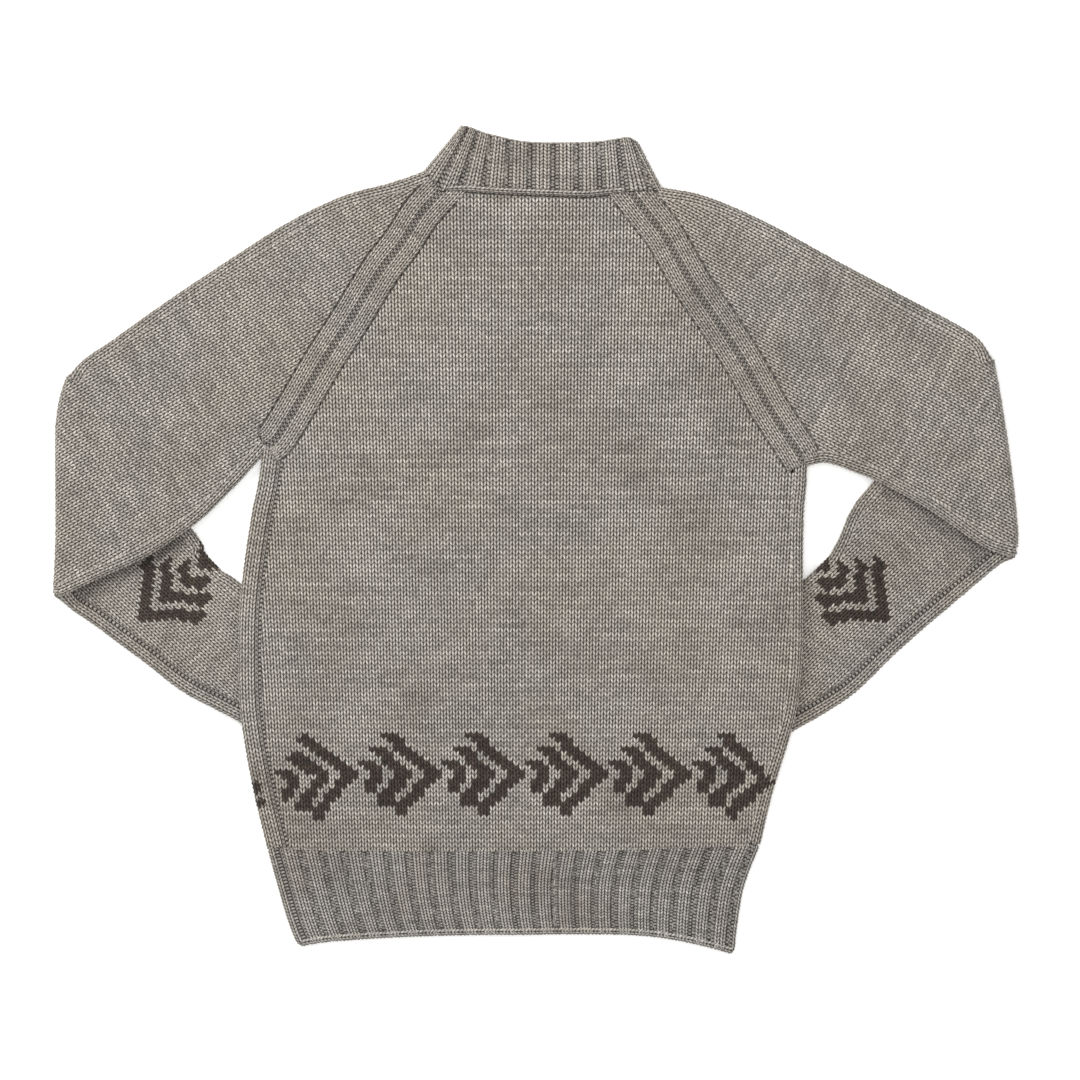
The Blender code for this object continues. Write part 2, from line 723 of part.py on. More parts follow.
def collar_grids():
    lefts, rights, back = collar_front("left"), collar_front("right"), collar_back()
    corners = {side: collar_corner(side) for side in SIGN}
    outs = {side: SIGN[side] * Path((NECK[side][0], FOLD_TOP[side])).right(0.5) for side in SIGN}
    grid = []
    for i in range(COLLAR_ROWS + 1):
        h = i / COLLAR_ROWS
        ways = {side: outs[side] if i else NECK[side][1] for side in SIGN}
        row = [bottom_pair(low.lerp(high, h)) for low, high in lefts]
        row += fold_row(corners["left"].lerp(FOLD_TOP["left"], h), ways["left"], UP_TURNS)
        row += [top_pair(low.lerp(high, h), height) for low, high, height in back]
        row += fold_row(corners["right"].lerp(FOLD_TOP["right"], h), ways["right"], DOWN_TURNS)
        row += [bottom_pair(low.lerp(high, h)) for low, high in rights[::-1]]
        grid.append(row)
    return [grid]


# Sleeves: a tube from the raglan seam, folded under at the crease, down to its cuff


class Sleeve:
    def __init__(self, side):
        table = SLEEVES[side]
        self.turn = -SIGN[side]
        self.seams = {layer: raglan(side, layer, SIGN[side] * HALF_SEAM) for layer in ("back", "front")}
        self.under_out, self.neck_out = UNDERARM[side][1], NECK[side][1]
        foot = self.seams["back"].at(0.0)
        self.neck = inset((NECK[side][0], self.seams["back"].at(1.0)), self.turn * HALF_SEAM)[0]
        crease = [Vector(p) for p in table["crease"]]
        self.crease = Path(crease)
        whole_under = Path([foot] + inset(table["under"][:-1], self.turn * EDGE) + [crease[0]])
        fan = UNDERARM_FAN / whole_under.length
        self.fan = whole_under.part(0.0, fan)
        self.under = Path([whole_under.at(fan + (1 - fan) * i / 16) for i in range(17)])
        shoulder = inset(table["shoulder"][:-1], -self.turn * EDGE)
        self.shoulder = Path([self.neck] + shoulder + [crease[-1]])
        seam = self.seams["back"]
        border = inset([seam.at(share) for share in SEAM_SHARES[:-1]], -self.turn * BAND)
        self.border = Path([whole_under.at(fan)] + border + [self.neck])
        self.bands = {}
        for layer, line in self.seams.items():
            self.bands[layer] = coons(
                line.at, self.border.at, self.fan, lambda t, top=line.at(1.0): top.lerp(self.neck, t)
            )
        self.arm = coons(self.border.at, self.crease.at, self.under.at, self.shoulder.at)
        self.low = Path([crease[0]] + inset(table["forearm low"][1:], -self.turn * EDGE))
        self.high = Path([crease[-1]] + inset(table["forearm high"][1:], self.turn * EDGE))
        self.wrist = Path((self.low.at(1.0), self.high.at(1.0)))
        self.forearm = coons(self.crease.at, self.wrist.at, self.low.at, self.high.at)
        self.cuff_end = Path(table["cuff"])

    def section(self, over, under, t, second, frame, outs, height=0.0):
        """The rows of points round the tube: under seam, lower fold, over layer, upper fold, under layer."""
        stations = [second] + SEAM_SHARES[:-1]

        def pair(surface, w, sign, relief=0.0):
            centre, up = frame(surface(w, t), w)
            return centre + HALF_GAP * sign * up, centre + (EDGE + relief) * sign * up

        def arc(w, out, turns):
            centre, up = frame(over(w, t), w)
            return fold_arc(centre, raised(out, 0.0), up, turns)

        width = (under(1.0, t) - under(0.0, t)).length
        seam, slit = min(SLEEVE_SEAM_IN / width, SLEEVE_SEAM_SHARE), HALF_SEAM / width
        first = [pair(under, seam - slit, -1)] + arc(0.0, outs[0], UP_TURNS)
        first += [pair(over, w, 1, height) for w in stations]
        fold = arc(1.0, outs[1], DOWN_TURNS)
        last = [pair(under, w, -1) for w in stations[::-1]] + [pair(under, seam + slit, -1)]
        return first, fold, last, pair(over, 1.0, 1, height), pair(under, 1.0, -1)

    def lying(self, sign):
        """Frame of a tube lying flat, with its over layer up or down."""

        def frame(p, _):
            return raised(p, WALL + HALF_GAP + (lift(p) if sign > 0 else 0.0)), Vector((0, 0, sign))

        return frame

    def bending(self, angle):
        """Frame of a row round the crease, at its angle from the upper arm."""

        def frame(p, w):
            radius = lift(p) / 2
            out = raised(-self.turn * self.crease.right(w), 0.0)
            way = math.sin(angle) * out + math.cos(angle) * Vector((0, 0, 1))
            return raised(p, WALL + HALF_GAP + radius) + radius * way, way

        return frame

    def grids(self):
        main, band_over, band_under = [], [], []
        foot = self.fan(0.0)
        fan_reach = EDGE * row_out(self.arm, 0.0, 0.0, self.under) + self.fan(1.0)
        for distance, height in RAGLAN_RELIEF:
            t = distance / BAND
            reach = (foot + EDGE * self.under_out).lerp(fan_reach, t)
            outs = (reach - self.fan(t)) / EDGE, self.neck_out
            second = FOOT + (ARM_SECOND - FOOT) * t
            first, _, last, top, bottom = self.section(
                self.bands["back"], self.bands["front"], t, second, self.lying(1), outs, height
            )
            if distance < BAND:
                band_over.append(first + [top])
                band_under.append([bottom] + last)
        for i in range(ARM_ROWS + 1):
            t = i / ARM_ROWS
            outs = (
                row_out(self.arm, t, 0.0, self.under),
                row_out(self.arm, t, 1.0, self.shoulder) if i else self.neck_out,
            )
            second = ARM_SECOND + (BEND_SECOND - ARM_SECOND) * t
            first, fold, last, _, _ = self.section(self.arm, self.arm, t, second, self.lying(1), outs)
            main.append(first + fold + last)
            if i == 0:
                band_over.append(first + fold[:1])
                band_under.append(fold[-1:] + last)
        arm_outs = outs
        bent_outs = (
            row_out(self.forearm, 0.0, 0.0, self.low),
            row_out(self.forearm, 0.0, 1.0, self.high),
        )
        for i in range(1, BEND_STEPS + 1):
            share = i / BEND_STEPS
            outs = [a.lerp(b, smooth(share)) for a, b in zip(arm_outs, bent_outs)]
            second = BEND_SECOND + (FOREARM_SECOND - BEND_SECOND) * share
            bend = self.bending(math.pi * share)
            first, fold, last, _, _ = self.section(self.forearm, self.forearm, 0.0, second, bend, outs)
            main.append(first + fold + last)
        for i in range(1, FOREARM_ROWS + 1):
            t = min(i / FOREARM_ROWS, 1 - HALF_SEAM / self.low.length)
            outs = row_out(self.forearm, t, 0.0, self.low), row_out(self.forearm, t, 1.0, self.high)
            first, fold, last, _, _ = self.section(
                self.forearm, self.forearm, t, FOREARM_SECOND, self.lying(-1), outs
            )
            main.append(first + fold + last)
        return [main, band_over, band_under]

    def cuff_grids(self):
        """The ribbed cuff: it shows nowhere, so it stays plain."""
        low = Path((self.wrist.at(0.0), self.cuff_end.at(0.0)))
        high = Path((self.wrist.at(1.0), self.cuff_end.at(1.0)))
        surface = coons(self.wrist.at, self.cuff_end.at, low.at, high.at)
        rows = []
        for i in range(CUFF_ROWS + 1):
            t = max(i / CUFF_ROWS, HALF_SEAM / low.length)
            outs = row_out(surface, t, 0.0, low), row_out(surface, t, 1.0, high)
            first, fold, last, _, _ = self.section(surface, surface, t, BEND_SECOND, self.lying(-1), outs)
            rows.append(first + fold + last)
        return [rows]


# Zip: sizes in millimetres
CHAIN_WIDE = 5.2
CHAIN_THICK = 2.2
TAPE_WIDE = 11.6
BOX_LONG = 8.0
BOX_THICK = 2.4
SLIDER_LONG = 11.0
SLIDER_WIDE = 9.0
PLATE_THICK = 0.7
PLATE_OFF = 1.75
POST = (2.4, 4.0)
POST_OFF = 3.0
BRIDGE = (1.6, 7.0, 0.8)
BRIDGE_OFF = 2.15
FOOT_SIZE = (1.6, 1.0, 2.0)
FOOT_OFF = 1.2
BAR_OFF = 1.05
BAR_RADIUS = 0.35
BAR_LONG = 4.0
BAR_SIDES = 12
TAB_THICK = 0.8
TAB_WIDE = 4.8
TAB_START = 5.0
TAB_LONG = 24.0
ARM = (1.0, 6.0)
ARM_SHARE = 0.92
ARM_SIDE = 1.85
ARM_MIDDLE = 2.6
ZIP_LENGTH = (ZIP_BOTTOM - ZIP_TOP).length
ZIP_ANGLE = math.atan2(ZIP_TOP.x - ZIP_BOTTOM.x, ZIP_TOP.y - ZIP_BOTTOM.y)


def along_zip(distance, off, z):
    """A point a distance down from the zip's top, off its middle line, in metres."""
    way = (ZIP_BOTTOM - ZIP_TOP).normalized()
    side = Vector((-way.y, way.x))
    p = ZIP_TOP + distance * way + off * side
    return (raised(p, z) - MIDDLE) * MM


def placed(obj, name, place, material):
    """Names an object just made, turns it with the zip, and moves it into the garment's collection."""
    obj.name = name
    obj.data.name = name
    obj.location = place
    obj.rotation_euler = (0.0, 0.0, -ZIP_ANGLE)
    obj.data.materials.append(material)
    for collection in list(obj.users_collection):
        collection.objects.unlink(obj)
    PART.objects.link(obj)
    return obj


def block(name, size, place, material):
    """A box of a size in millimetres, with its middle at a place in metres."""
    bpy.ops.mesh.primitive_cube_add(size=1.0)
    obj = bpy.context.active_object
    obj.data.transform(Matrix.Diagonal((size[0] * MM, size[1] * MM, size[2] * MM, 1.0)))
    return placed(obj, name, place, material)


def joined(base, others):
    """Adds other blocks to a base with Boolean unions, and hides them as helpers."""
    for other in others:
        union = base.modifiers.new("join " + other.name, "BOOLEAN")
        union.operation = "UNION"
        union.object = other
        other.hide_render = True
        PART.objects.unlink(other)
        HELPERS.objects.link(other)


def make_chain(metal, tape):
    """Both tapes, the closed chain between them, and the box at its foot."""
    tape_off = CHAIN_WIDE / 2 + SEAM_GAP + TAPE_WIDE / 2
    for name, sign in (("zip_tape_left", -1), ("zip_tape_right", 1)):
        place = along_zip(ZIP_LENGTH / 2, sign * tape_off, TAPE_Z + TAPE_THICK / 2)
        block(name, (TAPE_WIDE, ZIP_LENGTH, TAPE_THICK), place, tape)
    start = SLIDER_AT + SEAM_GAP * 2
    end = ZIP_LENGTH - BOX_LONG - SEAM_GAP
    place = along_zip((start + end) / 2, 0.0, CHAIN_Z)
    block("zip_chain", (CHAIN_WIDE, end - start, CHAIN_THICK), place, metal)
    place = along_zip(ZIP_LENGTH - BOX_LONG / 2, 0.0, CHAIN_Z)
    block("zip_box", (CHAIN_WIDE, BOX_LONG, BOX_THICK), place, metal)


def make_slider(metal):
    """Two plates joined by a post past the chain's end, and a bridge under the lower one for the pull tab."""
    plate = (SLIDER_WIDE, SLIDER_LONG, PLATE_THICK)
    low = CHAIN_Z - PLATE_OFF
    slider = block("zip_slider", plate, along_zip(SLIDER_AT, 0.0, low), metal)
    others = [
        block("slider_inner_plate", plate, along_zip(SLIDER_AT, 0.0, CHAIN_Z + PLATE_OFF), metal),
        block("slider_post", (*POST, 2 * PLATE_OFF), along_zip(SLIDER_AT - POST_OFF, 0.0, CHAIN_Z), metal),
        block("slider_bridge", BRIDGE, along_zip(SLIDER_AT, 0.0, low - BRIDGE_OFF), metal),
    ]
    reach = (BRIDGE[1] - FOOT_SIZE[1]) / 2
    for number, off in enumerate((-reach, reach)):
        place = along_zip(SLIDER_AT + off, 0.0, low - FOOT_OFF)
        others.append(block(f"slider_foot_{number}", FOOT_SIZE, place, metal))
    joined(slider, others)


def make_pull_tab(metal):
    """The pull tab hangs on a bar under the slider's bridge, and its origin is on that bar."""
    bar_z = CHAIN_Z - PLATE_OFF - BAR_OFF
    bpy.ops.mesh.primitive_cylinder_add(vertices=BAR_SIDES, radius=BAR_RADIUS * MM, depth=BAR_LONG * MM)
    bar = bpy.context.active_object
    bar.data.transform(Matrix.Rotation(math.pi / 2, 4, "Y"))
    placed(bar, "zip_pull_tab", along_zip(SLIDER_AT, 0.0, bar_z), metal)
    leaf_long = TAB_LONG - TAB_START
    leaf_place = along_zip(SLIDER_AT + TAB_START + leaf_long / 2, 0.0, bar_z)
    others = [block("tab_leaf", (TAB_WIDE, leaf_long, TAB_THICK), leaf_place, metal)]
    for number, off in enumerate((-ARM_SIDE, ARM_SIDE)):
        place = along_zip(SLIDER_AT + ARM_MIDDLE, off, bar_z)
        others.append(block(f"tab_arm_{number}", (*ARM, ARM_SHARE * TAB_THICK), place, metal))
    joined(bar, others)


def main():
    knit = material("oatmeal wool knit", (0.33, 0.29, 0.24), 0.95)
    rib = material("oatmeal wool rib", (0.31, 0.28, 0.24), 0.95)
    metal = material("dull nickel", (0.55, 0.53, 0.50), 0.35, 1.0)
    tape = material("woven tape", (0.26, 0.23, 0.19), 0.9)
    cloth_wall("back", back_grids(), knit)
    cloth_wall("left_front", left_front_grids(), knit)
    cloth_wall("right_front", right_front_grids(), knit)
    cloth_wall("back_welt", back_welt_grids(), rib)
    cloth_wall("left_front_welt", left_front_welt_grids(), rib)
    cloth_wall("right_front_welt", right_front_welt_grids(), rib)
    cloth_wall("collar", collar_grids(), rib)
    for side in SLEEVES:
        sleeve = Sleeve(side)
        cloth_wall(f"{side}_sleeve", sleeve.grids(), knit)
        cloth_wall(f"{side}_cuff", sleeve.cuff_grids(), rib)
    make_chain(metal, tape)
    make_slider(metal)
    make_pull_tab(metal)


for old in list(bpy.data.objects):
    bpy.data.objects.remove(old)
PART = bpy.data.collections.new("zip-up sweater")
HELPERS = bpy.data.collections.new("helpers")
bpy.context.scene.collection.children.link(PART)
bpy.context.scene.collection.children.link(HELPERS)
main()
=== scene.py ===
"""Zip-up raglan sweater laid face down: stitches, ribs, seams and zip, with floor, light and camera."""

import math

import bmesh
import bpy
import numpy as np
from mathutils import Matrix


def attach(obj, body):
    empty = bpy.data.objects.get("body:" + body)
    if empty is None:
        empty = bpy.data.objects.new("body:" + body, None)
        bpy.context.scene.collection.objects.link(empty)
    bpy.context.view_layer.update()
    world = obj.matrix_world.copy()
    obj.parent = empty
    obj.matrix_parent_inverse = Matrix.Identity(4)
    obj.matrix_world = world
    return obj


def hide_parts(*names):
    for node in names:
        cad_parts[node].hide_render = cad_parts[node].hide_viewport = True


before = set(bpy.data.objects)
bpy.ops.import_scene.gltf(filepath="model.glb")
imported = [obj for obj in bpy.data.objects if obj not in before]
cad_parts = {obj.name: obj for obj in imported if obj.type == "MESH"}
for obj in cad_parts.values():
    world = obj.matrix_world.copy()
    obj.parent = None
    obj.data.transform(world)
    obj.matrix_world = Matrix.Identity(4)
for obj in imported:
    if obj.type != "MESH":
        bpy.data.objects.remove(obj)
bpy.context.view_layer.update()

MM = 0.001

# Plan middle of the laid garment, moved to the origin, in millimetres
MIDDLE = np.array((0.07, 0.18, 0.0))

# Left and right of the laid garment, seen from above: which way each lies from the middle
SIGN = {"left": -1, "right": 1}

# Cloth thickness and the clear spaces between its layers, in millimetres
WALL = 3.0
TUBE_GAP = 0.6
SEAM_GAP = 0.3
HALF_GAP = TUBE_GAP / 2
EDGE = HALF_GAP + WALL
TUBE_HEIGHT = 2 * WALL + TUBE_GAP

# How high the sleeve folded underneath lifts what lies on it, and how softly, in millimetres
LIFT = TUBE_HEIGHT + 0.6
LIFT_MARGIN = 12.0
LIFT_RAMP = 85.0
CREASE_SWELL = 2.0
CREASE_SPREAD = 22.0

# Side seams: how far each lies in from its fold, on the back at the left and under the right side
LEFT_WRAP = 11.0
RIGHT_WRAP = 8.0

# Zip across the fronts, in millimetres
ZIP_TOP = np.array((1.0, 290.0))
ZIP_BOTTOM = np.array((-16.5, -354.0))
ZIP_EDGE = 5.0
ZIP_RAISE = 1.0
ZIP_RAISE_RAMP = 16.0
RIDGE = 2.5
RIDGE_HALF = 3.0
RIDGE_RAMP = 31.0
RIDGE_END = 292.0
RIDGE_FADE = 26.0
SLIDER_AT = 7.0
SLIDER_BUMP = 1.4
SLIDER_SPREAD = 24.0
CHAIN_Z = 4.55

# Where the zip passes the waist and the hem: y in millimetres
WAIST_Y = -278.0
HEM_Y = -356.0

# Where the collar's back has no front under it, it drops to the surface
FLOOR_REST = 0.25
DROP_START = 6.0
DROP_RAMP = 30.0
DROP_FADE = 25.0
NECK_LINE = 315.0

# Outline of the body, from the welt seam up to the underarm: x, y in millimetres
BODY_SIDE = {
    "left": (
        (-242, -277), (-253, -230), (-261, -187), (-266, -148), (-267, -100),
        (-266, -60), (-262, -20), (-255, 27), (-250, 52), (-247, 75),
    ),
    "right": (
        (203, -274), (213, -230), (226, -187), (235, -154), (240, -110),
        (241, -60), (241, -10), (242, 27), (244, 48), (245, 67),
    ),
}
WELT_SIDE = {
    "left": ((-214, -366), (-220, -352), (-226, -334), (-234, -306), (-242, -278)),
    "right": ((180, -372), (182, -350), (187, -318), (194, -296), (203, -275)),
}
WELT_SEAM = ((-239, -278), (-122, -279), (58, -278), (200, -274))
HEM = (
    (-211, -366), (-189, -361), (-149, -358), (-77, -355),
    (58, -354), (112, -357), (153, -365), (177, -372),
)

# Raglan seams from the underarm up to the neck: x, y in millimetres
RAGLANS = {
    "left": ((-233, 93), (-213, 125), (-191, 162), (-167, 199), (-140, 243), (-120, 269), (-104, 294)),
    "right": ((233, 85), (211, 119), (189, 158), (165, 196), (140, 233), (118, 272), (103, 292)),
}
RAGLAN_TOP_BACK = (85, 315)
RAGLAN_TOP_FRONT = (91, 308)

# Collar: its sides from neck to top, its seam on the back, and the edges of its fronts underneath
COLLAR_SIDE = {"left": ((-100, 334), (-68, 373)), "right": ((113, 319), (94, 356))}
COLLAR_SEAM = ((-66, 316.5), (-41, 314.8), (-8, 313.2), (24, 312.2), (43, 311.4), (60, 313))
COLLAR_TOP = (
    (-69.5, 370.5), (-68, 372.6), (-65, 373.7), (-61, 373.6), (-54, 371.2), (-41, 367), (-5, 360),
    (49, 360), (70.5, 362.6), (79, 364), (85.5, 363.6), (89.5, 361.6), (92.3, 358.8), (93.8, 356),
)
FRONT_SEAM = {"left": ((-41, 256), (-73, 279)), "right": ((45, 256), (75, 279))}
FRONT_TOP = {"left": ((-29, 310), (-54, 338)), "right": ((31, 308), (72, 330))}
FRONT_SEAM_MIDDLE = 249.0
FRONT_TOP_MIDDLE = 296.0

# Sleeves: edges of the upper arm and of the forearm folded under it
SLEEVES = {
    "left": {
        "shoulder": (
            (-127, 324), (-174, 311), (-222, 288), (-279, 252),
            (-333, 216), (-383, 180), (-408, 162), (-419, 149),
        ),
        "under": ((-266, 54), (-292, 27), (-311, 11), (-347, -13), (-392, -34), (-425, -50)),
        "crease": ((-427, -47), (-425, 0), (-425, 60), (-425, 100), (-422, 124), (-416, 144)),
        "forearm low": (
            (-430, -58), (-418, -62.5), (-401, -74), (-355, -108),
            (-320, -135), (-287, -153), (-260, -167),
        ),
        "forearm high": ((-405, 128), (-309, 10), (-299, -9), (-282, -27), (-266, -38), (-202, -92)),
        "cuff": ((-202, -202), (-154, -141)),
        "strip": ((-440, 150), (-445, -58), (-202, -204), (-152, -141), (-300, 9)),
    },
    "right": {
        "shoulder": ((153, 311), (207, 288), (273, 252), (341, 216), (385, 192), (402, 178), (410, 166)),
        "under": ((261, 70), (288, 61), (310, 52), (355, 27), (400, -4), (424, -15)),
        "crease": ((426, -11), (427, 10), (421, 66), (413, 120), (406, 160)),
        "forearm low": ((425, -21), (380, -54), (328, -99), (292, -134), (267, -152), (229, -174)),
        "forearm high": ((398, 148), (305, 54), (284, 27), (270, -4), (251, -27), (167, -98)),
        "cuff": ((170, -209), (122, -148)),
        "strip": ((425, 165), (445, -12), (290, -140), (170, -211), (120, -148), (300, 57)),
    },
}

# Shade on the forearm beside the upper arm's edge: how dark it is, and its reach in millimetres
SHADE = 0.55
SHADE_REACH = 14.0

# How much the sleeve's edge folds bulge where they turn round the crease, and in its two outer corners
CREASE_BULGE = 0.3
CORNER_BULGE = 2.2
CORNER_REACH = 17.0

# Raglan band: its width, and its end tucked under the collar, in millimetres
BAND = 18.7
TUCK = 20.0
TUCK_RAMP = 2.5
TUCK_DEPTH = 4.2

# Bound-off edges: radius of their roll and how far the hem's stands out, in millimetres
ROLL = 1.8
HEM_PROUD = 1.2

# Share of the collar's height that turns down at its top, and height and reach of the lip at its foot
TOP_TURN = 0.05
LIP = 0.9
LIP_REACH = 0.05
COLLAR_HEIGHT = 46.0

# Rounded corners of the welts and of the collar, in millimetres
CORNER = 7.0
SEAM_CORNER = 12.0
COLLAR_CORNER = {"left": 0.5, "right": 3.5}

# Steps in each span of a curve, and of an outline, in millimetres
CURVE_STEPS = 12
OUTLINE_STEP = 1.5

# How far flat stitches stop short of each edge, and how far the upper arm's go on past its crease
SIDE_INSET = 6.0
BAND_INSET = BAND - 0.3
NECK_INSET = 3.4
BODY_INSET = 7.0
FOLD_INSET = 6.5
UNDER_INSET = 13.0
PAST_CREASE = 34.0

# Painted shade of the stretched holes where the seams meet: x, y and radius, in millimetres
HOLE_SHADES = (
    (-59.9, 309.6, 1.3), (-59.0, 301.5, 1.1), (-92.0, 319.5, 1.2), (93.0, 315.4, 1.5),
    (101.0, 312.8, 1.6), (242.6, 79.6, 1.6), (-243.0, 88.0, 1.1),
)

# Gauge of the knit and form of its stitches, in millimetres and shares of a stitch
WALE = 5.25
WALE_SPREAD = 0.0003
COURSE = 4.12
RIB_COURSE = 3.1
RIB_WALE = 4.6
ARM_WALE = 5.5
FOREARM_WALE = 5.1
SLANT = 0.8
STITCH_DEPTH = 1.45
STITCH_TOP = 0.78
UNEVEN = 0.14
SEED = 7

# Wales of the sleeves: their way towards the neck, in degrees
ARM_WAY = {"left": 30.5, "right": 151.5}
FOREARM_WAY = {"left": 137.0, "right": 44.0}
FOREARM_SKEW = 5.5

# Soft troughs and ridges in the laid cloth: ends x, y, x, y, half width and height, in millimetres
FOLDS = (
    (229, 82, 228, -22, 5.0, -2.0),
    (222, 60, 214, -60, 14.0, 1.4),
    (-216, 66, -190, 20, 12.0, 1.2),
    (-236, 40, -232, -90, 9.0, -0.8),
    (-120, -262, 60, -256, 16.0, 1.3),
    (60, -258, 180, -250, 14.0, 1.0),
    (-190, -120, -60, -96, 34.0, 0.9),
    (20, -30, 150, -58, 36.0, 0.8),
    (-60, 150, 70, 128, 40.0, 0.8),
    (-252, 120, -330, 72, 12.0, 1.1),
    (-270, 96, -352, 30, 10.0, -0.9),
    (262, 112, 338, 78, 12.0, 1.1),
    (280, 84, 366, 40, 10.0, -0.9),
    (-398, 120, -404, 10, 9.0, -0.8),
    (392, 130, 402, 30, 9.0, -0.8),
)

# Arrow motif in stitches: distance between arrows and between the chevrons nested in one
ARROW_PITCH = 14
CHEVRON_STEP = 4.6
CHEVRON_TIP = 2.9
CHEVRON_TIP_ROWS = 1.6
CHEVRON_TAPER = 0.1
CHEVRON_END = 1.6
CHEVRON_ROWS = ((9.4, 9.2), (5.8, 6.8), (2.8, 3.9))

# Arms of the chevrons, upper and lower: how far back they go in each course, and how thick they are
BODY_ARMS = ((0.85, 2.9), (0.74, 2.7))
SLEEVE_ARMS = ((0.87, 2.9), (0.83, 2.9))

# Tips of the arrows in the middle of the back and on the forearms: x, y in millimetres
BODY_ARROW = (-9.5, -210.6)
SLEEVE_ARROW = {"left": (-356.0, -73.0), "right": (317.0, -73.0)}

# Sag of the back's arrows towards the sides: its run in millimetres, and how many runs off it starts
ARROW_SAG_RUN = 46.0
ARROW_SAG = ((-1, 3.48), (1, 3.26))

# Share of the forearm's upper edge, from the crease, that stays plain
BROWN_END = 0.15

# Brown stitches at the left fold: lowest and highest y, and how far in x they reach
EDGE_PATCHES = ((-229.0, -217.5, -246.0), (-241.0, -232.5, -242.5))


RANDOM = np.random.default_rng(SEED)


def vec(*points):
    return np.array(points, float)


UP = vec(0, 0, 1)


def unit(v):
    return v / np.maximum(np.linalg.norm(v, axis=-1, keepdims=True), 1e-9)


def right_hand(way):
    """Unit vectors on the right hand of plan ways."""
    return unit(np.stack([way[..., 1], -way[..., 0]], -1))


def raised(plan, z):
    """Plan points or ways in space, at a height."""
    return np.concatenate([plan, np.broadcast_to(z, plan.shape[:-1])[..., None]], -1)


def smooth(t):
    t = np.clip(t, 0.0, 1.0)
    return t * t * (3 - 2 * t)


def run_of(points):
    steps = np.linalg.norm(np.diff(points, axis=0), axis=1)
    return np.concatenate([[0.0], np.cumsum(steps)])


def read(at, run, values):
    """Values given along a run, read between its points."""
    return np.stack([np.interp(at, run, values[:, k]) for k in range(values.shape[1])], -1)


class Path:
    """A smooth plan curve through points, read by the fraction of its length."""

    def __init__(self, points):
        p = np.array([tuple(q)[:2] for q in points], float)
        ends = np.vstack([2 * p[0] - p[1], p, 2 * p[-1] - p[-2]])
        t = (np.arange(1, CURVE_STEPS + 1) / CURVE_STEPS)[:, None]
        runs = [p[:1]]
        for a, b, c, d in zip(ends, ends[1:], ends[2:], ends[3:]):
            bend = 2 * a - 5 * b + 4 * c - d
            twist = 3 * b - a - 3 * c + d
            runs.append(0.5 * (2 * b + (c - a) * t + bend * t**2 + twist * t**3))
        self.dense = np.vstack(runs)
        self.run = run_of(self.dense)
        self.length = self.run[-1]
        self.shares = self.run / self.length

    def at(self, fraction):
        return read(np.clip(fraction, 0, 1) * self.length, self.run, self.dense)

    def right(self, fraction):
        step = 3.0 / self.length
        f = np.clip(fraction, step, 1 - step)
        return right_hand(self.at(f + step) - self.at(f - step))


def inset(points, distance):
    """Plan points moved to the right hand of someone walking along them."""
    p = np.array(points, float)
    way = np.vstack([p[1] - p[0], p[2:] - p[:-2], p[-1] - p[-2]])
    return p + distance * right_hand(way)


def moved(path, distance):
    """A path's dense points, moved to its right hand."""
    return path.dense + distance * path.right(path.shares)


def outline(*curves):
    """One closed outline from plan curves that follow each other, each cut where it meets the next."""
    fine = []
    for curve in curves:
        run = run_of(curve)
        steps = max(int(run[-1] / OUTLINE_STEP), 3)
        fine.append(read(np.linspace(0, run[-1], steps), run, np.array(curve, float)))
    for i in range(len(fine)):
        a, b = fine[i - 1], fine[i]
        apart = np.linalg.norm(a[:, None] - b[None], axis=2)
        j, k = np.unravel_index(np.argmin(apart), apart.shape)
        fine[i - 1], fine[i] = a[: j + 1], b[k:]
    return np.vstack(fine)


def inside(p, loop):
    """Whether plan points lie in a closed outline."""
    found = np.zeros(len(p), bool)
    for a, b in zip(loop, np.roll(loop, -1, axis=0)):
        if a[1] == b[1]:
            continue
        crosses = (a[1] > p[:, 1]) != (b[1] > p[:, 1])
        at = a[0] + (p[:, 1] - a[1]) / (b[1] - a[1]) * (b[0] - a[0])
        found ^= crosses & (p[:, 0] < at)
    return found


def nearest(p, line):
    """The nearest points of a line to plan points, with the line's run there."""
    a, b = line[:-1], line[1:]
    along = b - a
    size = np.maximum((along**2).sum(1), 1e-12)
    share = np.clip(((p[:, None] - a) * along).sum(2) / size, 0, 1)
    spots = a + share[..., None] * along
    best = np.argmin(((p[:, None] - spots) ** 2).sum(2), axis=1)
    rows = np.arange(len(p))
    run = run_of(line)
    return spots[rows, best], run[best] + share[rows, best] * np.sqrt(size[best])


def segment_distance(p, a, b):
    along = b - a
    share = np.clip(((p - a) @ along) / (along @ along), 0, 1)
    return np.linalg.norm(p - a - share[..., None] * along, axis=-1)


def anticlockwise(corners):
    corners = np.array(corners, float)
    nxt = np.roll(corners, -1, axis=0)
    area = (corners[:, 0] * nxt[:, 1] - nxt[:, 0] * corners[:, 1]).sum()
    return corners if area > 0 else corners[::-1]


STRIPS = [anticlockwise(sleeve["strip"]) for sleeve in SLEEVES.values()]
CREASES = [vec(sleeve["crease"][0], sleeve["crease"][-1]) for sleeve in SLEEVES.values()]


def lift(p):
    """Height of the cloth's underside over the surface, where a folded sleeve lies below it."""
    nearest_strip = np.full(p.shape[:-1], 1e9)
    for corners in STRIPS:
        out = right_hand(np.roll(corners, -1, axis=0) - corners)
        away = np.max([(p - a) @ n for a, n in zip(corners, out)], axis=0)
        nearest_strip = np.minimum(nearest_strip, away)
    to_crease = np.min([segment_distance(p, a, b) for a, b in CREASES], axis=0)
    swell = CREASE_SWELL * np.exp(-((to_crease / CREASE_SPREAD) ** 2))
    return LIFT * (1 - smooth((nearest_strip - LIFT_MARGIN) / LIFT_RAMP)) + swell


